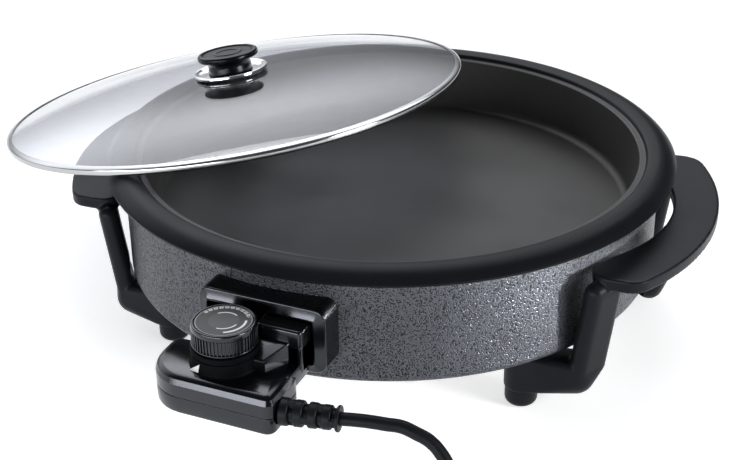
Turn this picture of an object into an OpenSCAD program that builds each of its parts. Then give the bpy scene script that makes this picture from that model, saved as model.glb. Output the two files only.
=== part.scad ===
// Round electric pan with a lift-off glass lid, two handle-and-leg mouldings and a plug-in heat control.
// Millimetres. The pan's axis is Z, the table is z = 0, the control is at -Y, the handles are near +X and -X.

/* [Pan] */
// Radius of the lip's crest
crest_r = 198; // [194:1:202]
// Height of the lip's crest above the table
crest_h = 134; // [131:0.5:138]
// Reach of the lip beyond its crest
lip_w = 13.5; // [11:0.5:15]
// Fall of the lip from its crest to its outer edge
lip_fall = 6.5; // [5:0.5:8]
// Thickness of the lip's outer edge
lip_t = 2.5; // [2:0.25:3.5]
// Depth of the lid's seat below the crest
seat_drop = 4; // [3:0.5:5]
// Width of the lid's seat
seat_w = 4.5; // [3:0.5:6]
// Depth of the pan's inside below the crest
pan_depth = 46; // [44:0.5:47]
// How much narrower the floor is than the seat
pan_taper = 4; // [2:0.5:6]
// Rounding between the floor and the wall
pan_fillet = 5; // [3:0.5:6]
// Thickness of the pan's floor and wall
pan_t = 3; // [2:0.25:4]

/* [Outer wall and base] */
// Reach of the outer wall beyond the crest
skirt_out = 1.5; // [0.5:0.25:3]
// Sheet thickness of the outer wall
skirt_t = 1.5; // [1:0.25:2]
// Depth of the outer wall below the crest
skirt_depth = 88.4; // [87:0.2:90]
// Rounding at the foot of the outer wall
skirt_fillet = 6; // [4:0.5:7]
// Width of the flange that turns in under the pan
flange_w = 13.5; // [12:0.5:14.5]
// Thickness of the base plate
base_t = 1.5; // [1:0.25:2]
// Length of a vent in the base plate
vent_l = 26; // [16:1:34]
// Width of a vent in the base plate
vent_w = 5; // [4:0.5:7]
// Radius of the ring of vents
vent_r = 70; // [60:1:90]
// Number of vents
vent_count = 12; // [6:1:14]
// Diameter of the base screws' heads
base_head_d = 7; // [6:0.5:8]
// Diameter of a standoff
standoff_d = 12; // [10:0.5:13]

/* [Heating element] */
// Diameter of the element's tube
element_d = 8; // [6.5:0.5:9]
// Radius of the element's ring
element_r = 120; // [100:1:140]
// Radius of the bends where the element turns outward
element_bend = 20; // [16:1:26]
// Width of an element clip
clip_w = 10; // [7:0.5:13]
// Sheet thickness of an element clip
clip_t = 1.2; // [0.8:0.1:1.6]
// Distance of each connector pin from the middle
pin_x = 14; // [13:0.5:16]
// Diameter of a connector pin
pin_d = 5; // [4:0.25:5.5]
// Diameter of a pin's ceramic bushing
bushing_d = 13.6; // [11:0.2:14.4]
// Diameter of the probe's sleeve
sleeve_d = 8; // [7.6:0.2:9]
// Length of the probe's sleeve
sleeve_l = 58; // [50:1:70]

/* [Handles and feet] */
// Turn of the right handle from the X axis
right_turn = 1.8; // [0.5:0.1:3.5]
// Turn of the left handle from the X axis
left_turn = 6.2; // [4:0.1:8]
// Fall of the plate's top below the crest
plate_drop = 27; // [24:0.5:31]
// Thickness of the handle plate
plate_t = 9; // [7:0.5:11]
// Gap in plan between the lip and the plate
plate_gap = 1.5; // [1:0.25:4]
// Reach of the plate in the middle
plate_reach = 31.5; // [27:0.5:36]
// Half of the plate's length
plate_half = 106; // [103:0.5:109]
// Radius of the plate's outer curve
plate_arc = 195; // [180:1:210]
// Radius of the plate's inner curve
plate_inner = 122; // [112:1:140]
// Rounding of the plate's outer corners
plate_corner = 17; // [14:0.5:22]
// Rounding of the plate's ends next to the wall
plate_end = 13; // [9:0.5:16]
// How far a leg stands in from the flange under the wall
leg_inset = 10.5; // [9.5:0.5:13]
// How far a leg stands beyond the plate's end
leg_past = 2; // [0:0.5:3]
// Diameter of a foot
foot_d = 23; // [21:0.5:24]
// Height of a foot
foot_h = 14; // [13:0.5:15]
// Rounding under a foot
foot_round = 5.5; // [3:0.5:6.5]
// Height of the arm above a foot
arm_h = 27; // [24:0.5:28]
// Width of a strut
strut_w = 30; // [27:0.5:33]
// Thickness of a strut
strut_t = 14.5; // [12:0.5:15]
// Width of the brace in the middle of a handle
brace_w = 26; // [23:0.5:30]
// Diameter of a leg screw
leg_screw_d = 5; // [4:0.25:5.5]

/* [Lid] */
// How far the lid's edge lies inside the crest
lid_inset = 10; // [9.5:0.25:11]
// Clearance round the lid on its seat
lid_gap = 1; // [0.6:0.1:1.6]
// Width of the lid's steel rim
rim_w = 4.6; // [4:0.2:6]
// Sheet thickness of the lid's steel rim
rim_t = 0.8; // [0.6:0.1:1]
// Height of the glass above the rim's foot
dome_h = 22; // [20:0.2:25]
// Thickness of the glass
glass_t = 3.6; // [3:0.1:4]
// Diameter of the knob's top
knob_d = 50; // [46:0.5:56]
// Height of the knob above the glass
knob_h = 19; // [17:0.5:24]
// Diameter of the bright ring under the knob
ring_d = 61; // [58:0.5:66]
// Thickness of the bright ring
ring_t = 2.5; // [2:0.25:4]
// Diameter of the knob's screw
knob_screw_d = 6; // [5:0.25:7]
// How far the resting lid stands over to one side
lid_shift = 169.5; // [168.5:0.5:171]
// Direction in plan in which the resting lid stands over
lid_lean = 162; // [155:0.5:168]
// Tilt of the resting lid
lid_tilt = 10.8; // [10.6:0.1:11]

/* [Connector shroud] */
// Width of the shroud
shroud_w = 91; // [88:0.5:96]
// Height of the shroud
shroud_h = 47; // [45:0.5:50]
// Depth of the shroud in front of the wall
shroud_d = 17.5; // [16.5:0.25:20]
// Thickness of the shroud's sides
shroud_t = 6.5; // [5:0.25:7]
// Thickness of the shroud's back at the middle
shroud_back = 5; // [4:0.25:5.5]
// Rounding of the shroud's outer corners
shroud_round = 8; // [4:0.5:10]

/* [Heat control] */
// Width of the control's bar
bar_w = 93; // [90:0.5:97]
// Depth of the control's bar
bar_d = 46; // [44:0.5:49]
// Height of the control's bar
bar_h = 25; // [24:0.5:28]
// Height of the seam between the two halves of the bar
seam_h = 12.5; // [11.5:0.25:13.5]
// Rise of the bar's flat top above its front edge
step_h = 2.2; // [1.5:0.1:3]
// How far the flat top stands back from the bar's front edge
step_in = 4.2; // [3:0.2:6]
// Fall of the bar's underside below the connector's axis
bar_drop = 29; // [28:0.25:30]
// Rounding of the bar's far front corner
bar_round = 27; // [18:0.5:30]
// Rounding of the bar's near front corner
bar_corner = 4; // [3:0.5:6]
// Rounding of the bar's near back corner
bar_shoulder = 21; // [16:0.5:23]
// Clearance of the plug block in the shroud
plug_gap = 2; // [1:0.25:3]
// Radius of the turret under the dial
turret_r = 22.25; // [22:0.25:24]
// Height of the turret above the bar
turret_h = 16; // [15.5:0.25:18]
// Radius of the dial
dial_r = 21.4; // [20.4:0.1:22.2]
// Height of the dial's ribbed band
dial_h = 11.7; // [9:0.1:13]
// Height of the smooth collar under the dial's band
collar_h = 3.6; // [3:0.1:5]
// Number of ribs round the dial
rib_count = 54; // [36:1:60]
// Depth of the dial's ribs
rib_deep = 0.9; // [0.5:0.1:1.2]
// Diameter of the dial's shaft
shaft_d = 6; // [5:0.25:7]
// Diameter of the temperature probe
probe_d = 6; // [5:0.25:6.2]
// Reach of the probe beyond the plug block
probe_l = 52; // [46:1:55]

/* [Cord] */
// Diameter of the cord
cord_d = 8.6; // [8:0.1:8.8]
// Length of the strain relief
relief_l = 38; // [34:0.5:42]
// Diameter of the strain relief at its root
relief_d = 17; // [15:0.5:18]
// Diameter of the strain relief at its end
relief_end_d = 13.6; // [12:0.2:15]
// Turn of the strain relief towards the pan
relief_turn = 10; // [8:0.5:12]
// Number of grooves in the strain relief
groove_count = 4; // [3:1:5]
// Width of the tie round the coil
tie_w = 8; // [5:0.5:9]
// Thickness of the tie round the coil
tie_t = 1; // [0.8:0.1:1.2]
// Length of the plug's body
plug_l = 40; // [34:0.5:46]
// Length of the plug's pins
plug_pin_l = 19; // [17:0.5:22]
// Diameter of the plug's pins
plug_pin_d = 4.8; // [4:0.1:5]

/* [Hidden] */
$fn = 96;
fit = 0.1;
run = 0.3;
fine = 0.02;

// Radii and heights of the pan
lip_r = crest_r + lip_w;
lid_r = crest_r - lid_inset;
seat_r = lid_r + lid_gap;
mouth_r = seat_r - seat_w;
floor_r = mouth_r - pan_taper;
seat_z = crest_h - seat_drop;
lip_z = crest_h - lip_fall;
lip_under = lip_z - lip_t;
floor_z = crest_h - pan_depth;
under_z = floor_z - pan_t;
edge_r = floor_r - pan_fillet;

// Radii and heights of the outer wall and base
skirt_r = crest_r + skirt_out;
base_z = crest_h - skirt_depth;
base_under = base_z - base_t;
flange_r = skirt_r - flange_w;
base_r = skirt_r - skirt_fillet - 0.5;
base_screw_r = (flange_r + base_r) / 2;
base_screw_count = 8;
base_screw_turn = 4;
base_screw_d = 3;
base_screw_l = 6;
base_head_h = 1.8;

// Heating element and connector
axis_z = under_z - element_d / 2;
bend_x = pin_x + element_bend;
bend_y = -sqrt(pow(element_r + element_bend, 2) - bend_x * bend_x);
bend_turn = atan2(-bend_y, bend_x);
bend_seam = 0.06;
pin_root = -(skirt_r - skirt_t - 3);
pin_tip = -(skirt_r + shroud_d - 1);
bushing_l = 8;
sleeve_bore = probe_d + 2 * run;
sleeve_z = under_z - sleeve_d / 2;
clip_turns = [90, 210, 330];
clip_tab = 7;
clip_gap = 0.25;

// Handles
plate_z = crest_h - plate_drop;
plate_in = lip_r + plate_gap;
plate_out = plate_in + plate_reach;
plate_mid = plate_out - plate_arc;
inner_mid = plate_in - plate_inner;
corner_y = plate_half - plate_corner;
corner_x = plate_mid + sqrt(pow(plate_arc - plate_corner, 2) - corner_y * corner_y);
corner_turn = atan2(corner_y, corner_x - plate_mid);
corner_far = 60;
end_back = 24;
end_x = plate_in - end_back;
end_in = end_x + 4;
end_reach = 60;
strut_top = [end_x, plate_half - 6.5];
strut_low = [end_x - 8, plate_half - 8.5];
strut_top_z = plate_z - plate_t / 2 - strut_t / 2;
strut_lean = 60;
brace_r = 10.5;
brace_half = brace_w / 2 - brace_r;
brace_low = [skirt_r + 3, base_z + 4.4];
brace_top = [plate_in + brace_r - 1.5, plate_z - brace_r];
elbow = [end_x - 15, plate_half - 7];
elbow_drop = 3;
leg_r = flange_r - leg_inset;
leg_y = plate_half + leg_past;
leg_x = sqrt(leg_r * leg_r - leg_y * leg_y);
arm_mid = foot_h + arm_h / 2;
arm_r = arm_h / 2;
hull_fn = 16;
foot_flat = foot_d / 2 - foot_round;
foot_recess_d = leg_screw_d + 3;
foot_recess_h = 9;
leg_head_d = leg_screw_d + 2.4;
leg_head_h = 3.5;
leg_screw_l = base_z - foot_recess_h + 14;
leg_hole_d = leg_screw_d + 2 * fit;

// Lid, in its own frame with the rim's foot at height zero
rim_in = lid_r - rim_w;
glass_r = lid_r - rim_t - fit;
glass_low = rim_t + fit;
dome_power = 3;
dome_steps = 24;
under_h = dome_h - glass_t;
knob_stem_d = knob_d * 0.7;
knob_cap = knob_h * 0.36;
knob_round = 2.5;
knob_bore_h = 11;
washer_d = 18;
washer_t = 1.5;
washer_top = dome(washer_d / 2, glass_low, under_h) - 0.005;
knob_head_d = knob_screw_d + 5;
knob_head_h = 3;
glass_hole_d = knob_screw_d + 1;

// The resting lid bears on the crest where its rim crosses it, or where its glass or its screw lies over it
lid_rest = 0.3;
bear_a = -pow(rim_in * sin(lid_tilt), 2);
bear_b = 2 * lid_shift * rim_in * cos(lid_tilt);
bear_c = lid_shift * lid_shift + rim_in * rim_in - crest_r * crest_r;
bear_k = (-bear_b + sqrt(bear_b * bear_b - 4 * bear_a * bear_c)) / (2 * bear_a);
rim_bears = crest_h + lid_rest + rim_in * bear_k * sin(lid_tilt);
glass_rise = (crest_r - lid_shift) * sin(lid_tilt);
glass_bears = crest_h - (under_h - 0.4 - glass_rise) / cos(lid_tilt);
screw_low = washer_top - washer_t - knob_head_h;
screw_over = lid_shift + knob_head_d > mouth_r;
screw_rise = screw_low * cos(lid_tilt) - knob_head_d / 2 * sin(lid_tilt);
screw_bears = screw_over ? crest_h + lid_rest - screw_rise : 0;
lid_z = max(rim_bears, glass_bears, screw_bears);
echo(rim_bears = rim_bears, glass_bears = glass_bears);

// Shroud
shroud_front = -(skirt_r + shroud_d);
shroud_floor = -(skirt_r + shroud_back);
shroud_drop = 18;
shroud_low = axis_z - shroud_drop;
shroud_top = shroud_low + shroud_h;
mouth_x = shroud_w / 2 - shroud_t - 1;
mouth_low = shroud_low + shroud_t;
mouth_top = shroud_top - shroud_t - 1;
window_x = pin_x + bushing_d / 2 + 2;
window_h = bushing_d + 6;
shroud_screw_x = 31;
shroud_screw_z = axis_z + 5;
shroud_screw_d = 4;
shroud_head_d = 7;
shroud_head_h = 2.6;
shroud_screw_l = 13;

// Heat control
plug_face = shroud_floor - 0.5;
bar_low = axis_z - bar_drop;
bar_top = bar_low + bar_h;
seam_z = bar_low + seam_h;
bar_back = shroud_front - 11;
bar_front = bar_back - bar_d;
bar_right = 37;
bar_left = bar_right - bar_w;
plug_x = mouth_x - plug_gap;
plug_low = mouth_low + plug_gap / 2;
plug_top = bar_top + 14;
plug_back = bar_back - 2;
turret_in = 46.9;
turret_x = bar_right - turret_in;
turret_y = bar_back - 16;
block_off = 23;
block_left = turret_x + block_off;
block_top = mouth_top - plug_gap / 2;
neck_low = bar_top - 4;
neck_reach = 29;
neck_ahead = 4;
neck_front = [turret_x + neck_reach, turret_y - neck_ahead];
neck_back = [block_left + 15, plug_back - 1];
neck_rise = 5.5;
turret_top = bar_top + turret_h;
turret_wall = 4;
chamber_r = turret_r - turret_wall;
chamber_top = turret_top - 4;
chamber_low = bar_low + 3;
chamber_half = 18;
chamber_back = 12;
chamber_x0 = turret_x - chamber_half;
chamber_x1 = turret_x + chamber_half;
chamber_y0 = turret_y - chamber_half;
chamber_y1 = turret_y + chamber_back;
socket_d = pin_d + 4.4;
socket_bore = pin_d + 0.4;
socket_l = 20;
switch_w = 29;
switch_d = 20;
switch_h = 31;
switch_base = [34, 26, 7];
probe_root = turret_y + switch_d / 2;
probe_round = probe_d / 2;
shaft_top = turret_top + run + collar_h + dial_h - 3;
shaft_low = chamber_low + switch_h + run;
disc_r = dial_r - 3.2;
disc_t = 1;
collar_r = dial_r - 1.6;
dial_low = turret_top + run;
band_low = dial_low + collar_h;
dial_top = band_low + dial_h;
control_screw_at = [[-42, 10], [18, 6], [22, 36]];
control_screw_d = 3;
control_head_d = 6;
control_head_h = 2.4;
control_screw_l = 20;

// Strain relief, along its own axis
relief_root = [bar_right, bar_front + 12, seam_z];
relief_stub = 9;
relief_stub_d = 11;
relief_flange = 3;
relief_flange_d = relief_end_d + 3;
relief_cut = 100;
groove_w = 3.4;
groove_deep = 2;
relief_end = relief_root + relief_l * [cos(relief_turn), sin(relief_turn), 0];

// Cord from the strain relief down to the coil on the table
cord_sides = 10;
cord_r = cord_d / 2;
tie_gap = 0.6;
coil_z = cord_r + tie_t + tie_gap;
cord_route = [
    [83.5, -253, 64.5],
    [92.5, -250.5, 64],
    [101.5, -248, 63],
    [110.5, -245.5, 62],
    [119.5, -244.5, 59],
    [128, -243.5, 55],
    [135.5, -244.5, 49],
    [141.5, -247, 42.5],
    [146, -251.5, 35.5],
    [149, -257, 28.5],
    [151, -264, 22.5],
    [152.5, -272, 17.5],
    [153, -280.5, 13.5],
    [153.5, -289.5, 10.5],
    [154, -298.5, 8.5],
    [154, -308, 7],
];

// Coil: spirals in on the table, climbs a layer in half a turn and spirals out above itself
coil_at = [210, -326];
coil_r = 56;
coil_step = cord_d + 0.8;
coil_layers = 1;
coil_rings = 24;
coil_sides = 6;
coil_start = 180;
coil_in = coil_layers * 360;
half_turn = 180;
coil_mid = coil_in + half_turn;
coil_all = coil_mid + coil_in;
coil_low_r = coil_r - coil_step * coil_layers;
coil_join = [coil_at[0] - coil_r, coil_at[1], coil_z];
coil_lead = cord_d;
plug_lead = 25;
plug_axis = [coil_at[0] + coil_r, coil_at[1] + plug_lead, coil_z + coil_step];

// Plug, along its own axis
plug_r = plug_axis[2];
plug_neck_r = cord_r + 2;
plug_neck_l = 14;
plug_round = 3;
plug_pin_x = 9.5;

// Points of a circular arc in the plane
function arc(c, r, a0, a1, n) = [
    for (i = [0 : n])
        let (a = a0 + (a1 - a0) * i / n)
        [c[0] + r * cos(a), c[1] + r * sin(a)]
];

// Points of a quadratic curve between two points with one control point
function curve(p, q, s, n) = [
    for (i = [0 : n])
        let (t = i / n)
        (1 - t) * (1 - t) * p + 2 * t * (1 - t) * q + t * t * s
];

// Height of the lid's dome at a radius, for a crown of a given height
function dome(r, low, crown) = low + (crown - low) * (1 - pow(r / glass_r, dome_power));

// Ease from nought to one
function ease(t) = t * t * (3 - 2 * t);

// Radius of the coil at a turn from its start
function coil_radius(a) =
    a <= coil_in + 90 ? coil_r - coil_step * a / 360
    : coil_low_r - coil_step / 4 + coil_step * (a - coil_in - 90) / 360;

// Height of the coil at a turn from its start
function coil_height(a) =
    a <= coil_in ? coil_z
    : a >= coil_mid ? coil_z + coil_step
    : coil_z + coil_step * ease((a - coil_in) / half_turn);

// A point on the coil's middle line
function coil_point(a) = [
    coil_at[0] + coil_radius(a) * cos(coil_start + a),
    coil_at[1] + coil_radius(a) * sin(coil_start + a),
    coil_height(a)
];

coil_count = round(coil_all / 360 * coil_rings);
coil_path = concat(
    [coil_join + [0, coil_lead, 0]],
    [for (i = [0 : coil_count]) coil_point(coil_all * i / coil_count)],
    [plug_axis]
);
cord_path = concat(
    [relief_end],
    cord_route,
    [coil_join + [0, coil_lead, 0]]
);

function unit(v) = v / norm(v);

// Direction of a path at one of its points; the ends take the direction they are given
function heading(path, i, first, last) =
    i == 0 ? first
    : i == len(path) - 1 ? last
    : unit(unit(path[i + 1] - path[i]) + unit(path[i] - path[i - 1]));

// One ring of a tube round a point of its path
function ring(p, dir, r, sides) =
    let (
        side = unit(cross(dir, [0, 0, 1])),
        up = cross(side, dir)
    )
    [for (k = [0 : sides - 1]) p + r * cos(360 * k / sides) * side + r * sin(360 * k / sides) * up];

// A tube swept along a path as one closed surface
module tube(path, first, last, r, sides) {
    n = len(path);
    points = [for (i = [0 : n - 1]) each ring(path[i], heading(path, i, first, last), r, sides)];
    walls = [
        for (i = [0 : n - 2])
            for (k = [0 : sides - 1])
                let (
                    a = i * sides + k,
                    b = i * sides + (k + 1) % sides
                )
                each [[a, b, b + sides], [a, b + sides, a + sides]]
    ];
    start = [for (k = [1 : sides - 2]) [0, k + 1, k]];
    base = (n - 1) * sides;
    finish = [for (k = [1 : sides - 2]) [base, base + k, base + k + 1]];
    polyhedron(points = points, faces = concat(walls, start, finish));
}

// Least distance between the surfaces of two turns of the coil
coil_gap = min([
    for (i = [1 : coil_count - 12])
        for (j = [i + 12 : coil_count])
            norm(coil_path[i] - coil_path[j]) - cord_d
]);
echo(coil_gap = coil_gap);

// Upright outline with a radius for each corner: left front, right front, right back, left back
module soft_rect(x0, y0, x1, y1, r) {
    at = [[x0 + r[0], y0 + r[0]], [x1 - r[1], y0 + r[1]], [x1 - r[2], y1 - r[2]], [x0 + r[3], y1 - r[3]]];
    to = [[x0, y0], [x1, y0], [x1, y1], [x0, y1]];
    difference() {
        translate([x0, y0])
            square([x1 - x0, y1 - y0]);
        for (i = [0 : 3])
            translate([min(at[i][0], to[i][0]), min(at[i][1], to[i][1])])
                translate([to[i][0] < at[i][0] ? -1 : 0, to[i][1] < at[i][1] ? -1 : 0])
                    square(r[i] + 1);
    }
    for (i = [0 : 3])
        translate(at[i])
            circle(r[i]);
}

// A cylinder lying along +Y from a point
module along_y(p, d, l) {
    translate(p)
        rotate([-90, 0, 0])
            cylinder(d = d, h = l);
}

// Turns a child of a handle's own frame to its side of the pan
module at_side(sx) {
    rotate(sx > 0 ? right_turn : left_turn + 180)
        children();
}

// Places a child at each of the four legs
module each_leg() {
    for (sx = [-1, 1])
        at_side(sx)
            for (sy = [-1, 1])
                translate([leg_x, sy * leg_y, 0])
                    children();
}

module pan() {
    color("#3c3a38")
        rotate_extrude()
            polygon(concat(
                [[0, under_z]],
                arc([edge_r, floor_z + pan_fillet], pan_fillet + pan_t, -90, 0, 6),
                [[mouth_r + pan_t, lip_under]],
                arc([lip_r - lip_t / 2, lip_z - lip_t / 2], lip_t / 2, -90, 90, 6),
                curve([lip_r - lip_t / 2, lip_z], [crest_r + lip_w * 0.55, crest_h - lip_fall * 0.18],
                    [crest_r, crest_h], 8),
                curve([crest_r, crest_h], [seat_r + 1, crest_h - 0.4], [seat_r, seat_z], 6),
                [[mouth_r + 0.8, seat_z], [mouth_r, seat_z - 0.8]],
                arc([edge_r, floor_z + pan_fillet], pan_fillet, 0, -90, 6),
                [[0, floor_z]]
            ));
}

module skirt() {
    c = [skirt_r - skirt_fillet, base_z + skirt_fillet];
    color("#9aa0a3")
        difference() {
            rotate_extrude()
                polygon(concat(
                    [[skirt_r - skirt_t, lip_under], [skirt_r, lip_under]],
                    arc(c, skirt_fillet, 0, -90, 8),
                    [[flange_r, base_z], [flange_r, base_z + skirt_t]],
                    arc(c, skirt_fillet - skirt_t, -90, 0, 8)
                ));
            for (s = [-1, 1])
                along_y([s * pin_x, -skirt_r - 2, axis_z], bushing_d + 2 * fit, 12);
            along_y([0, -skirt_r - 2, sleeve_z], sleeve_d + 2 * fit, 12);
            for (s = [-1, 1])
                along_y([s * shroud_screw_x, -skirt_r - 2, shroud_screw_z], shroud_screw_d + 2 * fit, 14);
            for (i = [0 : base_screw_count - 1])
                rotate(360 * (i + 0.5) / base_screw_count + base_screw_turn)
                    translate([base_screw_r, 0, base_z - 1])
                        cylinder(d = base_screw_d + 2 * fit, h = skirt_t + 2);
        }
}

module base_plate() {
    color("#8d9295")
        translate([0, 0, base_under])
            difference() {
                cylinder(r = base_r, h = base_t);
                for (i = [0 : vent_count - 1])
                    rotate(360 * i / vent_count)
                        translate([vent_r, 0, -1])
                            linear_extrude(base_t + 2) {
                                translate([-vent_l / 2, -vent_w / 2])
                                    square([vent_l, vent_w]);
                                for (s = [-1, 1])
                                    translate([s * vent_l / 2, 0])
                                        circle(d = vent_w, $fn = 32);
                            }
                for (i = [0 : base_screw_count - 1])
                    rotate(360 * (i + 0.5) / base_screw_count + base_screw_turn)
                        translate([base_screw_r, 0, -1])
                            cylinder(d = base_screw_d + 2 * fit, h = base_t + 2);
                each_leg()
                    translate([0, 0, -1])
                        cylinder(d = leg_hole_d, h = base_t + 2);
            }
}

module base_screws() {
    color("#b8bcbe")
        for (i = [0 : base_screw_count - 1])
            rotate(360 * (i + 0.5) / base_screw_count + base_screw_turn)
                translate([base_screw_r, 0, base_under - base_head_h]) {
                    difference() {
                        cylinder(d = base_head_d, h = base_head_h);
                        translate([-base_head_d / 2, -0.5, -1])
                            cube([base_head_d, 1, 1.8]);
                    }
                    translate([0, 0, base_head_h - fine])
                        cylinder(d = base_screw_d, h = base_screw_l);
                }
}

module standoffs() {
    color("#b8bcbe")
        each_leg()
            translate([0, 0, base_z])
                difference() {
                    cylinder(d = standoff_d, h = under_z - base_z);
                    translate([0, 0, -1])
                        cylinder(d = leg_hole_d, h = 18);
                }
}

module heating_element() {
    color("#6f6a64")
        translate([0, 0, axis_z]) {
            rotate(-bend_turn)
                rotate_extrude(angle = 180 + 2 * bend_turn)
                    translate([element_r, 0])
                        circle(d = element_d, $fn = 32);
            for (s = [0, 1])
                mirror([s, 0, 0]) {
                    translate([bend_x, bend_y, 0])
                        rotate(180 - bend_turn + bend_seam)
                            rotate_extrude(angle = bend_turn - 2 * bend_seam)
                                translate([element_bend, 0])
                                    circle(d = element_d, $fn = 32);
                    along_y([pin_x, pin_root, 0], element_d, bend_y - pin_root);
                }
        }
}

module element_clips() {
    r = element_d / 2 + clip_gap;
    color("#a7abad")
        for (a = clip_turns)
            rotate(a)
                translate([element_r, clip_w / 2, axis_z])
                    rotate([90, 0, 0])
                        linear_extrude(clip_w) {
                            difference() {
                                union() {
                                    circle(r + clip_t, $fn = 40);
                                    translate([-r - clip_t, 0])
                                        square([2 * (r + clip_t), element_d / 2]);
                                }
                                circle(r, $fn = 40);
                                translate([-r, 0])
                                    square([2 * r, element_d]);
                            }
                            for (s = [-1, 1])
                                translate([s > 0 ? r : -r - clip_tab, element_d / 2 - clip_t])
                                    square([clip_tab, clip_t]);
                        }
}

module connector_pins() {
    color("#c9b36a")
        for (s = [-1, 1]) {
            along_y([s * pin_x, pin_tip + 1.5, axis_z], pin_d, pin_root - pin_tip - 1.5);
            translate([s * pin_x, pin_tip + 1.5 + fine, axis_z])
                rotate([90, 0, 0])
                    cylinder(d1 = pin_d, d2 = pin_d - 2, h = 1.5);
        }
}

module pin_bushings() {
    color("#ece6d8")
        for (s = [-1, 1])
            difference() {
                along_y([s * pin_x, pin_root - bushing_l + 1, axis_z], bushing_d, bushing_l - 1);
                along_y([s * pin_x, pin_root - bushing_l, axis_z], pin_d + 2 * fit, bushing_l + 2);
            }
}

module probe_sleeve() {
    y = -skirt_r - 1;
    color("#a7abad")
        difference() {
            along_y([0, y, sleeve_z], sleeve_d, sleeve_l + 2);
            along_y([0, y - 1, sleeve_z], sleeve_bore, sleeve_l + 1);
        }
}

module connector_shroud() {
    deep = shroud_d + 9;
    color("#17171a")
        difference() {
            translate([0, shroud_front + deep, 0])
                rotate([90, 0, 0])
                    linear_extrude(deep)
                        soft_rect(-shroud_w / 2, shroud_low, shroud_w / 2, shroud_top,
                            [shroud_round, shroud_round, shroud_round, shroud_round]);
            cylinder(r = skirt_r, h = crest_h);
            translate([-mouth_x, shroud_front - 1, mouth_low])
                cube([2 * mouth_x, shroud_floor - shroud_front + 1, mouth_top - mouth_low]);
            translate([-window_x, shroud_front, axis_z - window_h / 2])
                cube([2 * window_x, deep, window_h]);
            for (s = [-1, 1]) {
                along_y([s * shroud_screw_x, shroud_front, shroud_screw_z], shroud_screw_d + 2 * fit, deep);
                along_y([s * shroud_screw_x, shroud_front, shroud_screw_z], shroud_head_d + 2 * fit,
                    shroud_floor + shroud_head_h + 0.4 - shroud_front);
            }
        }
}

module shroud_screws() {
    y = shroud_floor + 0.4;
    color("#b8bcbe")
        for (s = [-1, 1]) {
            difference() {
                along_y([s * shroud_screw_x, y, shroud_screw_z], shroud_head_d, shroud_head_h);
                translate([s * shroud_screw_x - shroud_head_d / 2, y - 1, shroud_screw_z - 0.5])
                    cube([shroud_head_d, 2, 1]);
            }
            along_y([s * shroud_screw_x, y + shroud_head_h - fine, shroud_screw_z], shroud_screw_d,
                shroud_screw_l);
        }
}

// Outline of a handle plate, a crescent with rounded outer corners
module plate_outline() {
    difference() {
        union() {
            difference() {
                intersection() {
                    translate([plate_mid, 0])
                        circle(plate_arc, $fn = 180);
                    translate([0, -plate_half])
                        square([plate_out + 1, 2 * plate_half]);
                }
                for (s = [-1, 1])
                    polygon([
                        [corner_x, s * corner_y],
                        [corner_x, s * (plate_half + 1)],
                        [corner_x + corner_far, s * (plate_half + 1)],
                        [corner_x + corner_far * cos(corner_turn), s * (corner_y + corner_far * sin(corner_turn))]
                    ]);
            }
            for (s = [-1, 1])
                translate([corner_x, s * corner_y])
                    circle(plate_corner);
        }
        translate([inner_mid, 0])
            circle(plate_inner, $fn = 180);
        circle(skirt_r + 2, $fn = 180);
        for (s = [-1, 1])
            difference() {
                translate([end_in - end_reach, s > 0 ? plate_half - plate_end : -plate_half - 1])
                    square([end_reach, plate_end + 1]);
                translate([end_in, s * (plate_half - plate_end)])
                    circle(plate_end);
            }
    }
}

// Two balls side by side, the section of a strut
module strut_pad(p, z) {
    half = (strut_w - strut_t) / 2;
    for (s = [-1, 1])
        translate([p[0] + s * half * cos(strut_lean), p[1] - s * half * sin(strut_lean), z])
            sphere(d = strut_t, $fn = hull_fn);
}

// One strut, and the arm that carries a leg
module leg_branch() {
    hull() {
        strut_pad(strut_top, strut_top_z);
        strut_pad(strut_low, arm_mid + 4);
    }
    hull() {
        translate([elbow[0], elbow[1], arm_mid - elbow_drop])
            sphere(arm_r, $fn = 24);
        translate([leg_x, leg_y, foot_h])
            cylinder(r = arm_r - 1, h = arm_h, $fn = 24);
        strut_pad(strut_low, arm_mid + 4);
    }
}

// The brace from the middle of the plate down to the foot of the wall
module brace() {
    hull()
        for (s = [-1, 1]) {
            translate([brace_low[0], s * brace_half, brace_low[1]])
                sphere(brace_r, $fn = hull_fn);
            translate([brace_top[0], s * brace_half, brace_top[1]])
                sphere(brace_r - 1.5, $fn = hull_fn);
        }
}

// One handle moulding at +X with its two legs
module handle() {
    difference() {
        union() {
            translate([0, 0, plate_z - plate_t])
                linear_extrude(plate_t)
                    plate_outline();
            brace();
            for (s = [0, 1])
                mirror([0, s, 0]) {
                    leg_branch();
                    translate([leg_x, leg_y, foot_h])
                        cylinder(d = foot_d, h = base_under - foot_h);
                }
        }
        for (s = [-1, 1])
            translate([leg_x, s * leg_y, 0]) {
                cylinder(d = leg_hole_d, h = crest_h);
                cylinder(d = foot_d + 2, h = foot_h);
            }
        translate([0, 0, base_z - 1])
            cylinder(r = skirt_r + 2, h = crest_h);
    }
}

module handle_right() {
    color("#1d1c1d")
        at_side(1)
            handle();
}

module handle_left() {
    color("#1d1c1d")
        at_side(-1)
            handle();
}

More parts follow.
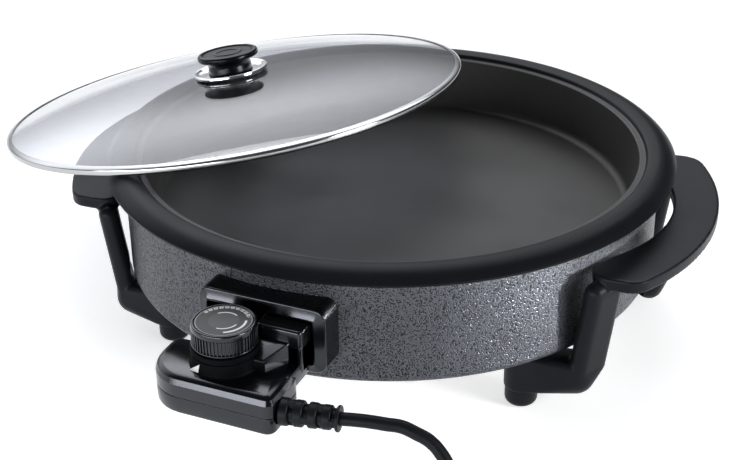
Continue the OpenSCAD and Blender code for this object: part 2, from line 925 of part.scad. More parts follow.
// One peg foot at a leg given by its two signs
module foot(sx, sy) {
    color("#1a1a1b")
        at_side(sx)
            translate([leg_x, sx * sy * leg_y, 0])
                difference() {
                    rotate_extrude()
                        polygon(concat(
                            [[0, 0]],
                            arc([foot_flat, foot_round], foot_round, -90, 0, 8),
                            [[foot_d / 2, foot_h], [0, foot_h]]
                        ));
                    translate([0, 0, -1])
                        cylinder(d = leg_hole_d, h = foot_h + 2);
                    translate([0, 0, -1])
                        cylinder(d = foot_recess_d, h = foot_recess_h + 1);
                }
}

module foot_front_right() {
    foot(1, -1);
}

module foot_back_right() {
    foot(1, 1);
}

module foot_front_left() {
    foot(-1, -1);
}

module foot_back_left() {
    foot(-1, 1);
}

module leg_screws() {
    color("#b8bcbe")
        each_leg()
            translate([0, 0, foot_recess_h - leg_head_h]) {
                difference() {
                    cylinder(d = leg_head_d, h = leg_head_h);
                    translate([0, 0, -1])
                        cylinder(d = leg_head_d * 0.55, h = leg_head_h - 0.5, $fn = 6);
                }
                translate([0, 0, leg_head_h - fine])
                    cylinder(d = leg_screw_d, h = leg_screw_l);
            }
}

// Puts a child of the lid's own frame into its resting pose
module lid_pose() {
    translate([lid_shift * cos(lid_lean), lid_shift * sin(lid_lean), lid_z])
        rotate(lid_lean)
            rotate([0, lid_tilt, 0])
                children();
}

// Section of the glass
function glass_section() = concat(
    [for (i = [0 : dome_steps]) let (r = glass_r * i / dome_steps) [r, dome(r, glass_low + glass_t, dome_h)]],
    [for (i = [dome_steps : -1 : 0]) let (r = glass_r * i / dome_steps) [r, dome(r, glass_low, under_h)]]
);

module lid_glass() {
    color("#cfe0e2", 0.35)
        lid_pose()
            difference() {
                rotate_extrude()
                    polygon(glass_section());
                translate([0, 0, under_h - 2])
                    cylinder(d = glass_hole_d, h = glass_t + 4, $fn = 40);
            }
}

module lid_rim() {
    low = dome(rim_in, glass_low, under_h);
    top = dome(rim_in, glass_low + glass_t, dome_h);
    mid = dome((rim_in + glass_r) / 2, glass_low + glass_t, dome_h);
    low_mid = dome((rim_in + glass_r) / 2, glass_low, under_h);
    color("#c6cacc")
        lid_pose()
            rotate_extrude()
                polygon([
                    [rim_in, 0],
                    [lid_r - 0.6, 0],
                    [lid_r, 0.6],
                    [lid_r, glass_low + glass_t + 0.2],
                    [lid_r - 0.8, glass_low + glass_t + fit + rim_t + 0.4],
                    [rim_in, top + fit + rim_t],
                    [rim_in, top + fit],
                    [(rim_in + glass_r) / 2, mid + fit],
                    [glass_r + fit, glass_low + glass_t + fit],
                    [glass_r + fit, glass_low - fit],
                    [(rim_in + glass_r) / 2, min(low_mid - fit, rim_t)],
                    [rim_in, min(low - fit, rim_t)]
                ]);
}

module lid_knob() {
    z = dome_h + ring_t;
    top = dome_h + knob_h;
    color("#19191b")
        lid_pose()
            difference() {
                rotate_extrude()
                    polygon(concat(
                        [[0, z], [knob_stem_d / 2 + 3, z], [knob_stem_d / 2, z + 3]],
                        [[knob_stem_d / 2, top - knob_cap]],
                        arc([knob_d / 2 - 2, top - knob_cap + 2], 2, -90, 0, 4),
                        arc([knob_d / 2 - knob_round, top - knob_round], knob_round, 0, 90, 6),
                        [[0, top]]
                    ));
                translate([0, 0, z - 1])
                    cylinder(d = knob_screw_d + 2 * fit, h = knob_bore_h + 1, $fn = 40);
            }
}

module knob_ring() {
    color("#d4d7d9")
        lid_pose()
            translate([0, 0, dome_h])
                difference() {
                    rotate_extrude()
                        polygon(concat(
                            [[0, 0]],
                            [[ring_d / 2, 0]],
                            arc([ring_d / 2 - ring_t * 0.6, ring_t * 0.4], ring_t * 0.6, 0, 90, 6),
                            [[0, ring_t]]
                        ));
                    translate([0, 0, -1])
                        cylinder(d = glass_hole_d, h = ring_t + 2, $fn = 40);
                }
}

module knob_washer() {
    color("#c6cacc")
        lid_pose()
            translate([0, 0, washer_top - washer_t])
                difference() {
                    cylinder(d = washer_d, h = washer_t, $fn = 48);
                    translate([0, 0, -1])
                        cylinder(d = glass_hole_d, h = washer_t + 2, $fn = 40);
                }
}

module knob_screw() {
    z = washer_top - washer_t;
    color("#c6cacc")
        lid_pose() {
            translate([0, 0, z - knob_head_h])
                difference() {
                    cylinder(d = knob_head_d, h = knob_head_h, $fn = 48);
                    translate([-knob_head_d / 2, -0.6, -1])
                        cube([knob_head_d, 1.2, 2.2]);
                }
            translate([0, 0, z - fine])
                cylinder(d = knob_screw_d, h = washer_t + glass_t + ring_t + knob_bore_h - 1, $fn = 40);
        }
}

// Plan of the control's bar
module bar_outline() {
    soft_rect(bar_left, bar_front, bar_right, bar_back, [bar_round, bar_corner, bar_shoulder, bar_corner * 2]);
}

// Plan of the bar's raised flat top
module step_outline() {
    soft_rect(bar_left + step_in, bar_front + step_in, bar_right, bar_back,
        [bar_round - step_in, bar_corner / 2, bar_shoulder, bar_corner]);
}

// Shoulder beside the dial: it rises to the back, where it meets the high end of the plug block
module neck() {
    intersection() {
        translate([0, 0, neck_low])
            linear_extrude(turret_top - neck_low)
                polygon([
                    [turret_x, neck_front[1]],
                    neck_front,
                    neck_back,
                    [neck_back[0], plug_back + 1],
                    [turret_x, plug_back + 1]
                ]);
        translate([turret_x, 0, 0])
            rotate([90, 0, 90])
                linear_extrude(bar_right - turret_x)
                    polygon([
                        [neck_front[1] - 1, neck_low],
                        [neck_front[1] - 1, turret_top - neck_rise],
                        [plug_back, turret_top],
                        [plug_back + 1, turret_top],
                        [plug_back + 1, neck_low]
                    ]);
    }
    translate([block_left, plug_back, plug_low])
        cube([plug_x - block_left, plug_face - plug_back, block_top - plug_low]);
}

// The hollow in which the switch stands
module chamber() {
    translate([chamber_x0, chamber_y0, chamber_low])
        cube([chamber_x1 - chamber_x0, chamber_y1 - chamber_y0, bar_top - 3 - chamber_low]);
    translate([turret_x, turret_y, chamber_low])
        cylinder(r = chamber_r, h = chamber_top - chamber_low);
}

// Places a child at each screw that joins the control's halves
module each_control_screw() {
    for (p = control_screw_at)
        translate([p[0], bar_front + p[1], bar_low])
            children();
}

// A cylinder along the strain relief's axis
module relief_bore(d) {
    translate(relief_root)
        rotate([0, 0, relief_turn])
            translate([-relief_stub - fit, 0, 0])
                rotate([0, 90, 0])
                    cylinder(d = d, h = relief_stub + 4);
}

module control_top() {
    color("#141416")
        difference() {
            union() {
                translate([0, 0, seam_z])
                    linear_extrude(bar_top - seam_z)
                        bar_outline();
                translate([0, 0, bar_top - 1])
                    linear_extrude(step_h + 1)
                        step_outline();
                translate([turret_x, turret_y, bar_top - 1])
                    cylinder(r = turret_r, h = turret_h + 1);
                translate([-plug_x, plug_back, plug_low])
                    cube([2 * plug_x, plug_face - plug_back, plug_top - plug_low]);
                neck();
            }
            difference() {
                chamber();
                translate([-plug_x, probe_root + 6, plug_low])
                    cube([2 * plug_x, plug_face - probe_root, plug_top - plug_low]);
            }
            translate([turret_x, turret_y, chamber_top - 1])
                cylinder(d = shaft_d + 2 * run, h = turret_h);
            along_y([0, turret_y, axis_z], probe_d + 2 * run, plug_face - turret_y + 1);
            for (s = [-1, 1])
                along_y([s * pin_x, plug_face - socket_l - 0.5, axis_z], socket_d + 2 * fit, socket_l + 2);
            each_control_screw()
                translate([0, 0, seam_h - 1])
                    cylinder(d = control_screw_d + 2 * fit, h = control_screw_l - seam_h + 1, $fn = 32);
            relief_bore(relief_stub_d + 2 * fit);
        }
}

module control_bottom() {
    color("#141416")
        difference() {
            translate([0, 0, bar_low])
                linear_extrude(seam_h)
                    bar_outline();
            chamber();
            translate([-plug_x - fit, plug_back - fit, plug_low - fit])
                cube([2 * plug_x + 2 * fit, bar_d, bar_h]);
            each_control_screw() {
                translate([0, 0, -1])
                    cylinder(d = control_screw_d + 2 * fit, h = seam_h + 2, $fn = 32);
                translate([0, 0, -1])
                    cylinder(d = control_head_d + 2 * fit, h = control_head_h + 1.4, $fn = 32);
            }
            relief_bore(relief_stub_d + 2 * fit);
        }
}

module control_screws() {
    color("#b8bcbe")
        each_control_screw()
            translate([0, 0, 0.4]) {
                difference() {
                    cylinder(d = control_head_d, h = control_head_h, $fn = 32);
                    translate([-control_head_d / 2, -0.4, -1])
                        cube([control_head_d, 0.8, 2]);
                }
                translate([0, 0, control_head_h - fine])
                    cylinder(d = control_screw_d, h = control_screw_l - control_head_h - 1, $fn = 32);
            }
}

module thermostat() {
    color("#7a5a3a")
        translate([turret_x, turret_y, chamber_low]) {
            translate([-switch_base[0] / 2, -switch_base[1] / 2 - 2, 0])
                cube(switch_base);
            translate([-switch_w / 2, -switch_d / 2, switch_base[2] - fine])
                cube([switch_w, switch_d, switch_h - switch_base[2] + fine]);
        }
}

module probe() {
    l = plug_face + probe_l - probe_root;
    color("#c6cacc")
        translate([0, probe_root, axis_z])
            rotate([-90, 0, 0])
                rotate_extrude()
                    polygon(concat(
                        [[0, 0], [probe_d / 2, 0]],
                        arc([0, l - probe_round], probe_round, 0, 90, 8)
                    ), $fn = 48);
}

module contact_sockets() {
    color("#c9b36a")
        for (s = [-1, 1])
            difference() {
                along_y([s * pin_x, plug_face - socket_l - 0.5, axis_z], socket_d, socket_l);
                along_y([s * pin_x, plug_face - socket_l + 2, axis_z], socket_bore, socket_l);
            }
}

module dial() {
    n = rib_count * 2;
    color("#1b1b1d")
        translate([turret_x, turret_y, 0])
            difference() {
                union() {
                    translate([0, 0, dial_low])
                        cylinder(r = collar_r, h = collar_h + 1);
                    translate([0, 0, band_low])
                        linear_extrude(dial_h)
                            polygon([
                                for (i = [0 : n - 1])
                                    let (r = dial_r - (i % 2) * rib_deep)
                                    [r * cos(360 * i / n), r * sin(360 * i / n)]
                            ]);
                }
                translate([0, 0, dial_top - disc_t])
                    cylinder(r = disc_r + fit, h = disc_t + 1);
                translate([0, 0, dial_low - 1])
                    cylinder(d = shaft_d + 2 * fit, h = shaft_top + 0.2 - dial_low + 1, $fn = 40);
            }
}

module dial_disc() {
    color("#8f9194")
        translate([turret_x, turret_y, dial_top - disc_t])
            cylinder(r = disc_r, h = disc_t);
}

module dial_shaft() {
    color("#c6cacc")
        translate([turret_x, turret_y, shaft_low])
            cylinder(d = shaft_d, h = shaft_top - shaft_low, $fn = 40);
}

module strain_relief() {
    root = relief_d / 2;
    end = relief_end_d / 2;
    pitch = (relief_l - relief_flange - 4) / groove_count;
    color("#121213")
        intersection() {
            translate(relief_root)
                rotate([0, 0, relief_turn])
                    rotate([0, 90, 0])
                        rotate_extrude()
                            polygon(concat(
                                [[0, -relief_stub], [relief_stub_d / 2, -relief_stub]],
                                [[relief_stub_d / 2, 1.8], [root, 1.8]],
                                [for (i = [0 : groove_count - 1])
                                    let (
                                        z = 4 + pitch * i,
                                        r = root + (end - root) * z / relief_l,
                                        s = root + (end - root) * (z + groove_w) / relief_l
                                    )
                                    each [[r, z], [r - groove_deep, z + 0.6],
                                        [s - groove_deep, z + groove_w - 0.6], [s, z + groove_w]]],
                                [[end, relief_l - relief_flange], [relief_flange_d / 2, relief_l - relief_flange]],
                                [[relief_flange_d / 2, relief_l - 0.6], [relief_flange_d / 2 - 0.6, relief_l]],
                                [[0, relief_l]]
                            ), $fn = 64);
            union() {
                translate([bar_right, relief_root[1] - relief_cut / 2, seam_z - relief_cut / 2])
                    cube(relief_cut);
                relief_bore(relief_stub_d);
            }
        }
}

module cord() {
    color("#0f0f10")
        tube(cord_path, [cos(relief_turn), sin(relief_turn), 0], [0, -1, 0], cord_r, cord_sides);
}

module cord_coil() {
    color("#0f0f10")
        tube(coil_path, [0, -1, 0], [0, 1, 0], cord_r, coil_sides);
}

module coil_tie() {
    a = 270;
    p = coil_point(a);
    r = cord_r + tie_gap;
    color("#2a2a2c")
        translate([coil_at[0] - tie_w / 2, p[1], coil_z])
            rotate([90, 0, 90])
                linear_extrude(tie_w)
                    difference() {
                        union() {
                            circle(r + tie_t, $fn = 40);
                            translate([0, coil_step])
                                circle(r + tie_t, $fn = 40);
                            translate([-r - tie_t, 0])
                                square([2 * (r + tie_t), coil_step]);
                        }
                        circle(r, $fn = 40);
                        translate([0, coil_step])
                            circle(r, $fn = 40);
                        translate([-r, 0])
                            square([2 * r, coil_step]);
                    }
}

module plug() {
    color("#151516")
        translate(plug_axis)
            rotate([-90, 0, 0])
                difference() {
                    rotate_extrude()
                        polygon(concat(
                            [[0, 0], [plug_neck_r - 1, 0], [plug_neck_r + 1.5, plug_neck_l]],
                            [[plug_r - 2, plug_neck_l + 4], [plug_r, plug_neck_l + 8]],
                            arc([plug_r - plug_round, plug_l - plug_round], plug_round, 0, 90, 6),
                            [[0, plug_l]]
                        ));
                    for (s = [-1, 1])
                        translate([s * plug_pin_x, 0, plug_l - 8])
                            cylinder(d = plug_pin_d + 2 * fit, h = 10, $fn = 32);
                }
}

module plug_pins() {
    color("#cfd2d4")
        translate(plug_axis)
            rotate([-90, 0, 0])
                for (s = [-1, 1])
                    translate([s * plug_pin_x, 0, plug_l - 8])
                        rotate_extrude()
                            polygon([
                                [0, 0],
                                [plug_pin_d / 2, 0],
                                [plug_pin_d / 2, plug_pin_l + 7],
                                [plug_pin_d / 4, plug_pin_l + 8],
                                [0, plug_pin_l + 8]
                            ], $fn = 32);
}

pan();
skirt();
base_plate();
base_screws();
standoffs();
heating_element();
element_clips();
connector_pins();
pin_bushings();
probe_sleeve();
connector_shroud();
shroud_screws();
handle_right();
handle_left();
foot_front_right();
foot_back_right();
foot_front_left();
foot_back_left();
leg_screws();
lid_glass();
lid_rim();
lid_knob();
knob_ring();
knob_washer();
knob_screw();
control_top();
control_bottom();
control_screws();
thermostat();
probe();
contact_sockets();
dial();
dial_disc();
dial_shaft();
strain_relief();
cord();
cord_coil();
coil_tie();
plug();
plug_pins();
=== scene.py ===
"""Round electric pan with a lift-off glass lid and a plug-in control, dressed round its CAD frame."""

import math

import bmesh
import bpy
from mathutils import Matrix, Vector


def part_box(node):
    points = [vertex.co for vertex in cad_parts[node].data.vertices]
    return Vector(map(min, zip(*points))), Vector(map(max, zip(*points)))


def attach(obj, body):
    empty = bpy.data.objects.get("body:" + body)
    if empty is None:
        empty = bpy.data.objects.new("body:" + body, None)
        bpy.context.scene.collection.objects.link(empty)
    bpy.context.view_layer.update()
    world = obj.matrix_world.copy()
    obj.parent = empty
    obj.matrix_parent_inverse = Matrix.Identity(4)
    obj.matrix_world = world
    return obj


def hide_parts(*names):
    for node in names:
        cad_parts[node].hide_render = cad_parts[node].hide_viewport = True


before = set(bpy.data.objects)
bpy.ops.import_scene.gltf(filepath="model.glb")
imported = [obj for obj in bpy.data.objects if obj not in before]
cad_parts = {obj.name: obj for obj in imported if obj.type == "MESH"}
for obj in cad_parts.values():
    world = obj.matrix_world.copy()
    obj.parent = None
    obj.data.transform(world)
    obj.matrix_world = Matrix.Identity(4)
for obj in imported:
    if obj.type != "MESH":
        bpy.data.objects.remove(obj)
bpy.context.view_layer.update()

bl_info = {
    "name": "Electric Pan",
    "version": (1, 0, 0),
    "blender": (4, 5, 0),
    "location": "View3D > Sidebar > Electric Pan",
    "description": "Models and finishes a round electric pan with a glass lid and a plug-in control",
    "category": "Object",
}

MM = 0.001
FINISH = "finish_"
# Bluish tint on the reflections of the dark finishes: a painted cool cast of the light.
COOL_LIGHT_TINT = (0.85, 0.89, 1.0)
FULL_TURN = 2 * math.pi
PAN_STEPS = 256
LID_STEPS = 224
KNOB_STEPS = 128
FACET_CREASE = 18


def top_of(node):
    """Height of a CAD node's highest point."""
    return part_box(node)[1].z


def reach_of(node):
    """Farthest a CAD node reaches along +X."""
    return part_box(node)[1].x


def length_prop(name, description, default):
    """A size in metres that a user may change."""
    return bpy.props.FloatProperty(
        name=name, description=description, default=default, unit="LENGTH", precision=4
    )


def angle_prop(name, description, degrees):
    """An angle that a user may change."""
    return bpy.props.FloatProperty(
        name=name, description=description, default=math.radians(degrees), subtype="ANGLE"
    )


def colour_prop(name, description, default):
    """A colour that a user may change."""
    return bpy.props.FloatVectorProperty(
        name=name, description=description, default=default, subtype="COLOR", size=3, min=0, max=1
    )


class PanSizes(bpy.types.PropertyGroup):
    """Sizes of the pan and its wall."""

    lip: length_prop("Lip radius", "Outside of the pan's rolled lip", reach_of("pan"))
    crest: length_prop("Crest radius", "Highest circle of the lip", 0.198)
    crest_height: length_prop("Crest height", "Height of the crest above the table", top_of("pan"))
    floor_height: length_prop("Floor height", "Height of the cooking floor above the table", 0.088)
    wall: length_prop("Wall radius", "Outside of the painted wall", reach_of("skirt"))
    wall_low: length_prop("Wall foot", "Height of the wall's lower edge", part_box("skirt")[0].z)


class LidSizes(bpy.types.PropertyGroup):
    """Sizes of the lid and the way it leans on the pan."""

    radius: length_prop("Rim radius", "Outside of the lid's steel rim", 0.188)
    dome: length_prop("Dome height", "Top of the glass above the rim's foot", 0.022)
    glass: length_prop("Glass thickness", "Thickness of the lid's glass", 0.0036)
    shift: length_prop("Shift", "Distance from the pan's axis to the lid's", 0.1695)
    height: length_prop("Height", "Height of the lid's centre above the table", 0.121361)
    lean: angle_prop("Lean", "Direction the lid is shifted and tipped", 162)
    tilt: angle_prop("Tilt", "How far the lid is tipped", 10.8)


class CordSizes(bpy.types.PropertyGroup):
    """Sizes of the cord and its coil."""

    diameter: length_prop("Diameter", "Thickness of the cord", 0.0086)
    coil_radius: length_prop("Coil radius", "Radius of the coil's outer turn", 0.056)
    coil_step: length_prop("Coil step", "Distance between neighbouring turns", 0.0094)


class PanColours(bpy.types.PropertyGroup):
    """Colours of the finishes."""

    # The paint's two tones: the dark one also stands as painted shade in the hollows of the hammered
    # bump.
    paint_light: colour_prop("Paint, high", "High spots of the hammered paint", (0.082, 0.087, 0.098))
    paint_dark: colour_prop("Paint, low", "Hollows of the hammered paint", (0.009, 0.0095, 0.0115))
    lip: colour_prop("Lip", "Satin coating on the lip", (0.006, 0.0065, 0.0075))
    coating: colour_prop("Coating", "Non-stick coating inside the pan", (0.026, 0.0255, 0.025))
    bakelite: colour_prop("Handles", "Moulded handles and feet", (0.006, 0.0066, 0.0078))
    plastic: colour_prop("Control", "Glossy control and its shroud", (0.002, 0.0022, 0.0027))
    rubber: colour_prop("Cord", "Cord, strain relief and plug", (0.003, 0.0033, 0.0038))
    steel: colour_prop("Steel", "Bright lid rim and knob ring", (0.78, 0.79, 0.80))
    disc: colour_prop("Dial disc", "Printed disc on the dial", (0.05, 0.051, 0.055))
    floor: colour_prop("Floor", "Plain pale floor", (0.90, 0.90, 0.90))


class Wire:
    """A shader socket. Sums on it add Math nodes to its tree, and node() adds any other."""

    def __init__(self, tree, socket):
        self.tree = tree
        self.socket = socket

    def node(self, kind, settings=None, sockets=None, output=0):
        """Adds a node, sets it up, feeds its sockets and returns one of its outputs."""
        made = self.tree.nodes.new(kind)
        for key, value in (settings or {}).items():
            setattr(made, key, value)
        for key, value in (sockets or {}).items():
            if isinstance(value, Wire):
                self.tree.links.new(value.socket, made.inputs[key])
            else:
                made.inputs[key].default_value = value
        return Wire(self.tree, made.outputs[output])

    def math(self, operation, *values):
        """A Math node on this socket and other values."""
        return self.node("ShaderNodeMath", {"operation": operation}, dict(enumerate(values)))

    def __add__(self, other):
        return self.math("ADD", self, other)

    def __sub__(self, other):
        return self.math("SUBTRACT", self, other)

    def __rsub__(self, other):
        return self.math("SUBTRACT", other, self)

    def __mul__(self, other):
        return self.math("MULTIPLY", self, other)

    __radd__ = __add__
    __rmul__ = __mul__

    def step(self, low, high, to_low=0.0, to_high=1.0):
        """A smooth rise from one value to another while this goes from low to high."""
        return self.node(
            "ShaderNodeMapRange",
            {"interpolation_type": "SMOOTHSTEP"},
            {0: self, 1: low, 2: high, 3: to_low, 4: to_high},
        )

    def blend(self, first, second):
        """The first colour where this is 0 and the second where it is 1."""
        ends = [value if isinstance(value, Wire) else (*value, 1) for value in (first, second)]
        sockets = {0: self, 6: ends[0], 7: ends[1]}
        return self.node("ShaderNodeMix", {"data_type": "RGBA"}, sockets, 2)

    def noise(self, scale, detail=2.0, roughness=0.5):
        """Noise over this place."""
        sockets = {"Vector": self, "Scale": scale, "Detail": detail, "Roughness": roughness}
        return self.node("ShaderNodeTexNoise", None, sockets)

    def bump(self, strength, distance):
        """A normal from this height."""
        sockets = {"Strength": strength, "Distance": distance, "Height": self}
        return self.node("ShaderNodeBump", None, sockets)

    def axes(self):
        """X, Y and Z of this place."""
        return [self.node("ShaderNodeSeparateXYZ", None, {0: self}, i) for i in range(3)]


def finish_of(name):
    """The material of a finish, whose name keeps apart from the frame's own slots."""
    return bpy.data.materials[FINISH + name]


def finish(name, fixed, vary):
    """A material from its fixed socket values and a function that wires what varies."""
    material = bpy.data.materials.new(FINISH + name)
    material.use_nodes = True
    tree = material.node_tree
    shader = tree.nodes["Principled BSDF"]
    for key, value in fixed.items():
        shader.inputs[key].default_value = (*value, 1) if isinstance(value, tuple) else value
    place = Wire(tree, tree.nodes.new("ShaderNodeTexCoord").outputs["Object"])
    for key, wire in vary(place).items():
        tree.links.new(wire.socket, shader.inputs[key])
    return material


def shade(colour, factor):
    """A lighter or darker copy of a colour."""
    return tuple(min(1.0, c * factor) for c in colour)


def hammered_paint(colours):
    """Hammered metallic paint: short bright and dark wrinkles, with the dark colour laid in the bump's
    hollows as painted shade.
    """

    def vary(place):
        swirl = place.noise(640, 1.0, 0.4) * (FULL_TURN * 1.4)
        wave = swirl.math("SINE", swirl)
        wrinkle = wave.math("ABSOLUTE", wave)
        fine = place.noise(900, 1.5)
        broad = place.noise(16, 2)
        height = wrinkle * 0.8 + fine * 0.4
        # Low where the bump is low: the paint's own mottle, plus painted shade in its hollows.
        tone_and_hollow_shade = (height + (broad - 0.5) * 0.2).step(0.35, 1.0)
        return {
            "Base Color": tone_and_hollow_shade.blend(tuple(colours.paint_dark), tuple(colours.paint_light)),
            "Roughness": tone_and_hollow_shade.step(0, 1, 0.47, 0.36),
            "Normal": height.bump(0.6, 0.0004),
        }

    return finish("hammered_paint", {"Metallic": 0.92, "Specular IOR Level": 0.4}, vary)


def coated(name, colour, roughness, grain, depth, shine=0.5, tint=(1.0, 1.0, 1.0)):
    """A baked coating with a fine grain."""

    def vary(place):
        fine = place.noise(grain, 3, 0.6)
        broad = place.noise(14, 2)
        cloud = (fine * 0.6 + broad * 0.4).step(0.3, 0.7)
        return {
            "Base Color": cloud.blend(shade(colour, 0.82), shade(colour, 1.2)),
            "Roughness": broad.step(0.3, 0.7, roughness - 0.05, roughness + 0.05),
            "Normal": fine.bump(0.35, depth),
        }

    return finish(name, {"Specular IOR Level": shine, "Specular Tint": tint}, vary)


def moulded(name, colour, roughness, shine=0.5, tint=(1.0, 1.0, 1.0)):
    """A moulded plastic with a faint skin and a little handling wear."""

    def vary(place):
        skin = place.noise(900, 2)
        flow = place.noise(30, 3)
        wear = skin * 0.35 + flow * 0.65
        return {
            "Base Color": flow.step(0.3, 0.7).blend(shade(colour, 0.9), shade(colour, 1.15)),
            "Roughness": wear.step(0.3, 0.7, roughness * 0.85, roughness * 1.15),
            "Normal": skin.bump(0.08 if roughness > 0.25 else 0.015, 0.0002),
        }

    return finish(name, {"Specular IOR Level": shine, "Specular Tint": tint}, vary)


def metal(name, colour, roughness):
    """A metal with a drawn grain and slight staining."""

    def vary(place):
        stretch = place.node("ShaderNodeMapping", None, {0: place, "Scale": (1, 1, 12)})
        drawn = stretch.noise(700, 2)
        stain = place.noise(22, 3)
        dull = drawn * 0.6 + stain * 0.4
        return {
            "Base Color": stain.step(0.3, 0.75).blend(shade(colour, 0.9), colour),
            "Roughness": dull.step(0.3, 0.7, roughness * 0.7, roughness * 1.3),
            "Normal": drawn.bump(0.03, 0.0001),
        }

    return finish(name, {"Metallic": 1.0}, vary)


def lid_glass_finish():
    """Clear tempered glass with a faint film."""

    def vary(place):
        film = place.noise(9, 3)
        return {"Roughness": film.step(0.35, 0.75, 0.0, 0.03)}

    fixed = {"Base Color": (0.70, 0.72, 0.76), "Transmission Weight": 1.0, "IOR": 1.5}
    return finish("clear_glass", fixed, vary)


DIAL_AXIS = (-0.0099, -0.244)
RIBS = 54


def dial_print(colours):
    """Grey printed disc: a ring of short blocks, arcs and a plain middle. Millimetres and degrees."""
    white = (0.62, 0.62, 0.63)
    soft = 0.15
    block_turn = 13

    def vary(place):
        x, y, _ = place.axes()
        x, y = x - DIAL_AXIS[0], y - DIAL_AXIS[1]
        square = x * x + y * y
        radius = square.math("POWER", square, 0.5) * (1 / MM)
        turn = x.math("ARCTAN2", y, x) * (180 / math.pi)

        def band(value, low, high, blur):
            return value.step(low - blur, low + blur) * value.step(high - blur, high + blur, 1.0, 0.0)

        outer = band(radius, 17.5, 17.9, soft) * 0.55
        arc_out = band(radius, 13.4, 14.9, soft) * band(turn, -62, 22, 1.5)
        sweeps = band(turn, 60, 140, 1.5) + band(turn, -88, -8, 1.5)
        arc_in = band(radius, 9.3, 10.2, soft) * sweeps
        share = turn * (1 / block_turn)
        blocks = share.math("FRACT", share)
        row = band(radius, 14.9, 17.0, soft) * band(turn, 36, 166, 1)
        cells = band(blocks, 0.16, 0.84, 0.04) * row
        hollow = band(blocks, 0.36, 0.64, 0.04) * band(radius, 15.5, 16.4, soft)
        marks = outer + arc_out + arc_in + cells * (1 - hollow)
        mark = marks.math("MINIMUM", marks, 1.0)
        middle = radius.step(9.6, 10.0, 1.0, 0.0)
        ground = middle.blend(shade(tuple(colours.disc), 0.6), tuple(colours.disc))
        return {
            "Base Color": mark.blend(ground, white),
            "Normal": place.noise(1500, 2).bump(0.05, 0.0001),
        }

    return finish("dial_print", {"Roughness": 0.42, "Specular IOR Level": 0.2}, vary)


def floor_finish(colours):
    """Plain pale studio floor, lit from below towards the front."""

    def vary(place):
        _, y, _ = place.axes()
        pale = tuple(colours.floor)
        return {
            "Base Color": place.noise(3, 2).step(0, 1).blend(shade(pale, 0.99), pale),
            "Emission Color": y.step(-0.5, 0.5).blend((0.78, 0.78, 0.78), (0.12, 0.12, 0.12)),
        }

    fixed = {"Roughness": 0.7, "Specular IOR Level": 0.1, "Emission Strength": 1.0}
    return finish("studio_floor", fixed, vary)


def round_corners(bm, verts, offsets):
    """Rounds each of these corners by its own offset in millimetres."""
    for vert, offset in zip(verts, offsets):
        if offset:
            bmesh.ops.bevel(
                bm,
                geom=[vert],
                offset=offset * MM,
                segments=8,
                profile=0.5,
                affect="VERTICES",
                material=-1,
            )


def spun(points, steps, closed=True):
    """A ring turned about Z from a section of (radius, height, rounding) corners in millimetres."""
    bm = bmesh.new()
    verts = [bm.verts.new((r * MM, 0, z * MM)) for r, z, _ in points]
    for pair in zip(verts, verts[1:] + verts[:1] if closed else verts[1:]):
        bm.edges.new(pair)
    round_corners(bm, verts, [p[2] for p in points])
    bmesh.ops.spin(
        bm,
        geom=bm.verts[:] + bm.edges[:],
        cent=(0, 0, 0),
        axis=(0, 0, 1),
        angle=FULL_TURN,
        steps=steps,
        use_merge=True,
    )
    bmesh.ops.remove_doubles(bm, verts=bm.verts, dist=1e-6)
    return bm


def prism(corners, low, high):
    """An outline of (x, y, rounding) corners raised from one height to another, in millimetres."""
    bm = bmesh.new()
    verts = [bm.verts.new((x * MM, y * MM, low * MM)) for x, y, _ in corners]
    bm.faces.new(verts)
    round_corners(bm, verts, [c[2] for c in corners])
    grown = bmesh.ops.extrude_face_region(bm, geom=bm.faces[:])["geom"]
    lifted = [g for g in grown if isinstance(g, bmesh.types.BMVert)]
    bmesh.ops.translate(bm, verts=lifted, vec=(0, 0, (high - low) * MM))
    bmesh.ops.recalc_face_normals(bm, faces=bm.faces)
    return bm


def level_edges(bm, value):
    """Creased edges that lie at one height, in millimetres."""
    return [
        e
        for e in bm.edges
        if all(abs(v.co.z - value * MM) < 1e-5 for v in e.verts)
        and len(e.link_faces) == 2
        and e.calc_face_angle() > math.radians(30)
    ]


def soften(bm, edges, offset, segments=4):
    """Rounds these edges by an offset in millimetres."""
    bmesh.ops.bevel(
        bm,
        geom=edges,
        offset=offset * MM,
        segments=segments,
        profile=0.5,
        affect="EDGES",
        clamp_overlap=True,
        material=-1,
    )


def top_face(bm):
    """The widest of the faces that look straight up."""
    return max((f for f in bm.faces if f.normal.z > 0.99), key=lambda f: f.calc_area())


def terrace(bm, face, steps):
    """Insets a face by (width, rise) steps in millimetres, one inside the other."""
    for width, rise in steps:
        bmesh.ops.inset_region(
            bm, faces=[face], thickness=width * MM, depth=rise * MM, use_even_offset=True
        )
    return face


def moved(bm, matrix):
    """The same mesh, put in its place."""
    bmesh.ops.transform(bm, matrix=matrix, verts=bm.verts)
    return bm


def at(x, y, z):
    """A move by millimetres."""
    return Matrix.Translation((x * MM, y * MM, z * MM))


def joined(*parts):
    """Several meshes as one."""
    whole = bmesh.new()
    for bm in parts:
        part = bpy.data.meshes.new("part")
        bm.to_mesh(part)
        bm.free()
        whole.from_mesh(part)
        bpy.data.meshes.remove(part)
    return whole


def add_piece(name, bm, material, body, slot, *nodes, crease=35):
    """Makes the object of a finished mesh, on its body and in place of its CAD nodes."""
    bmesh.ops.remove_doubles(bm, verts=bm.verts, dist=1e-6)
    bmesh.ops.recalc_face_normals(bm, faces=bm.faces)
    mesh = bpy.data.meshes.new(name)
    bm.to_mesh(mesh)
    bm.free()
    return add_object(name, mesh, material, body, slot, *nodes, crease=crease)


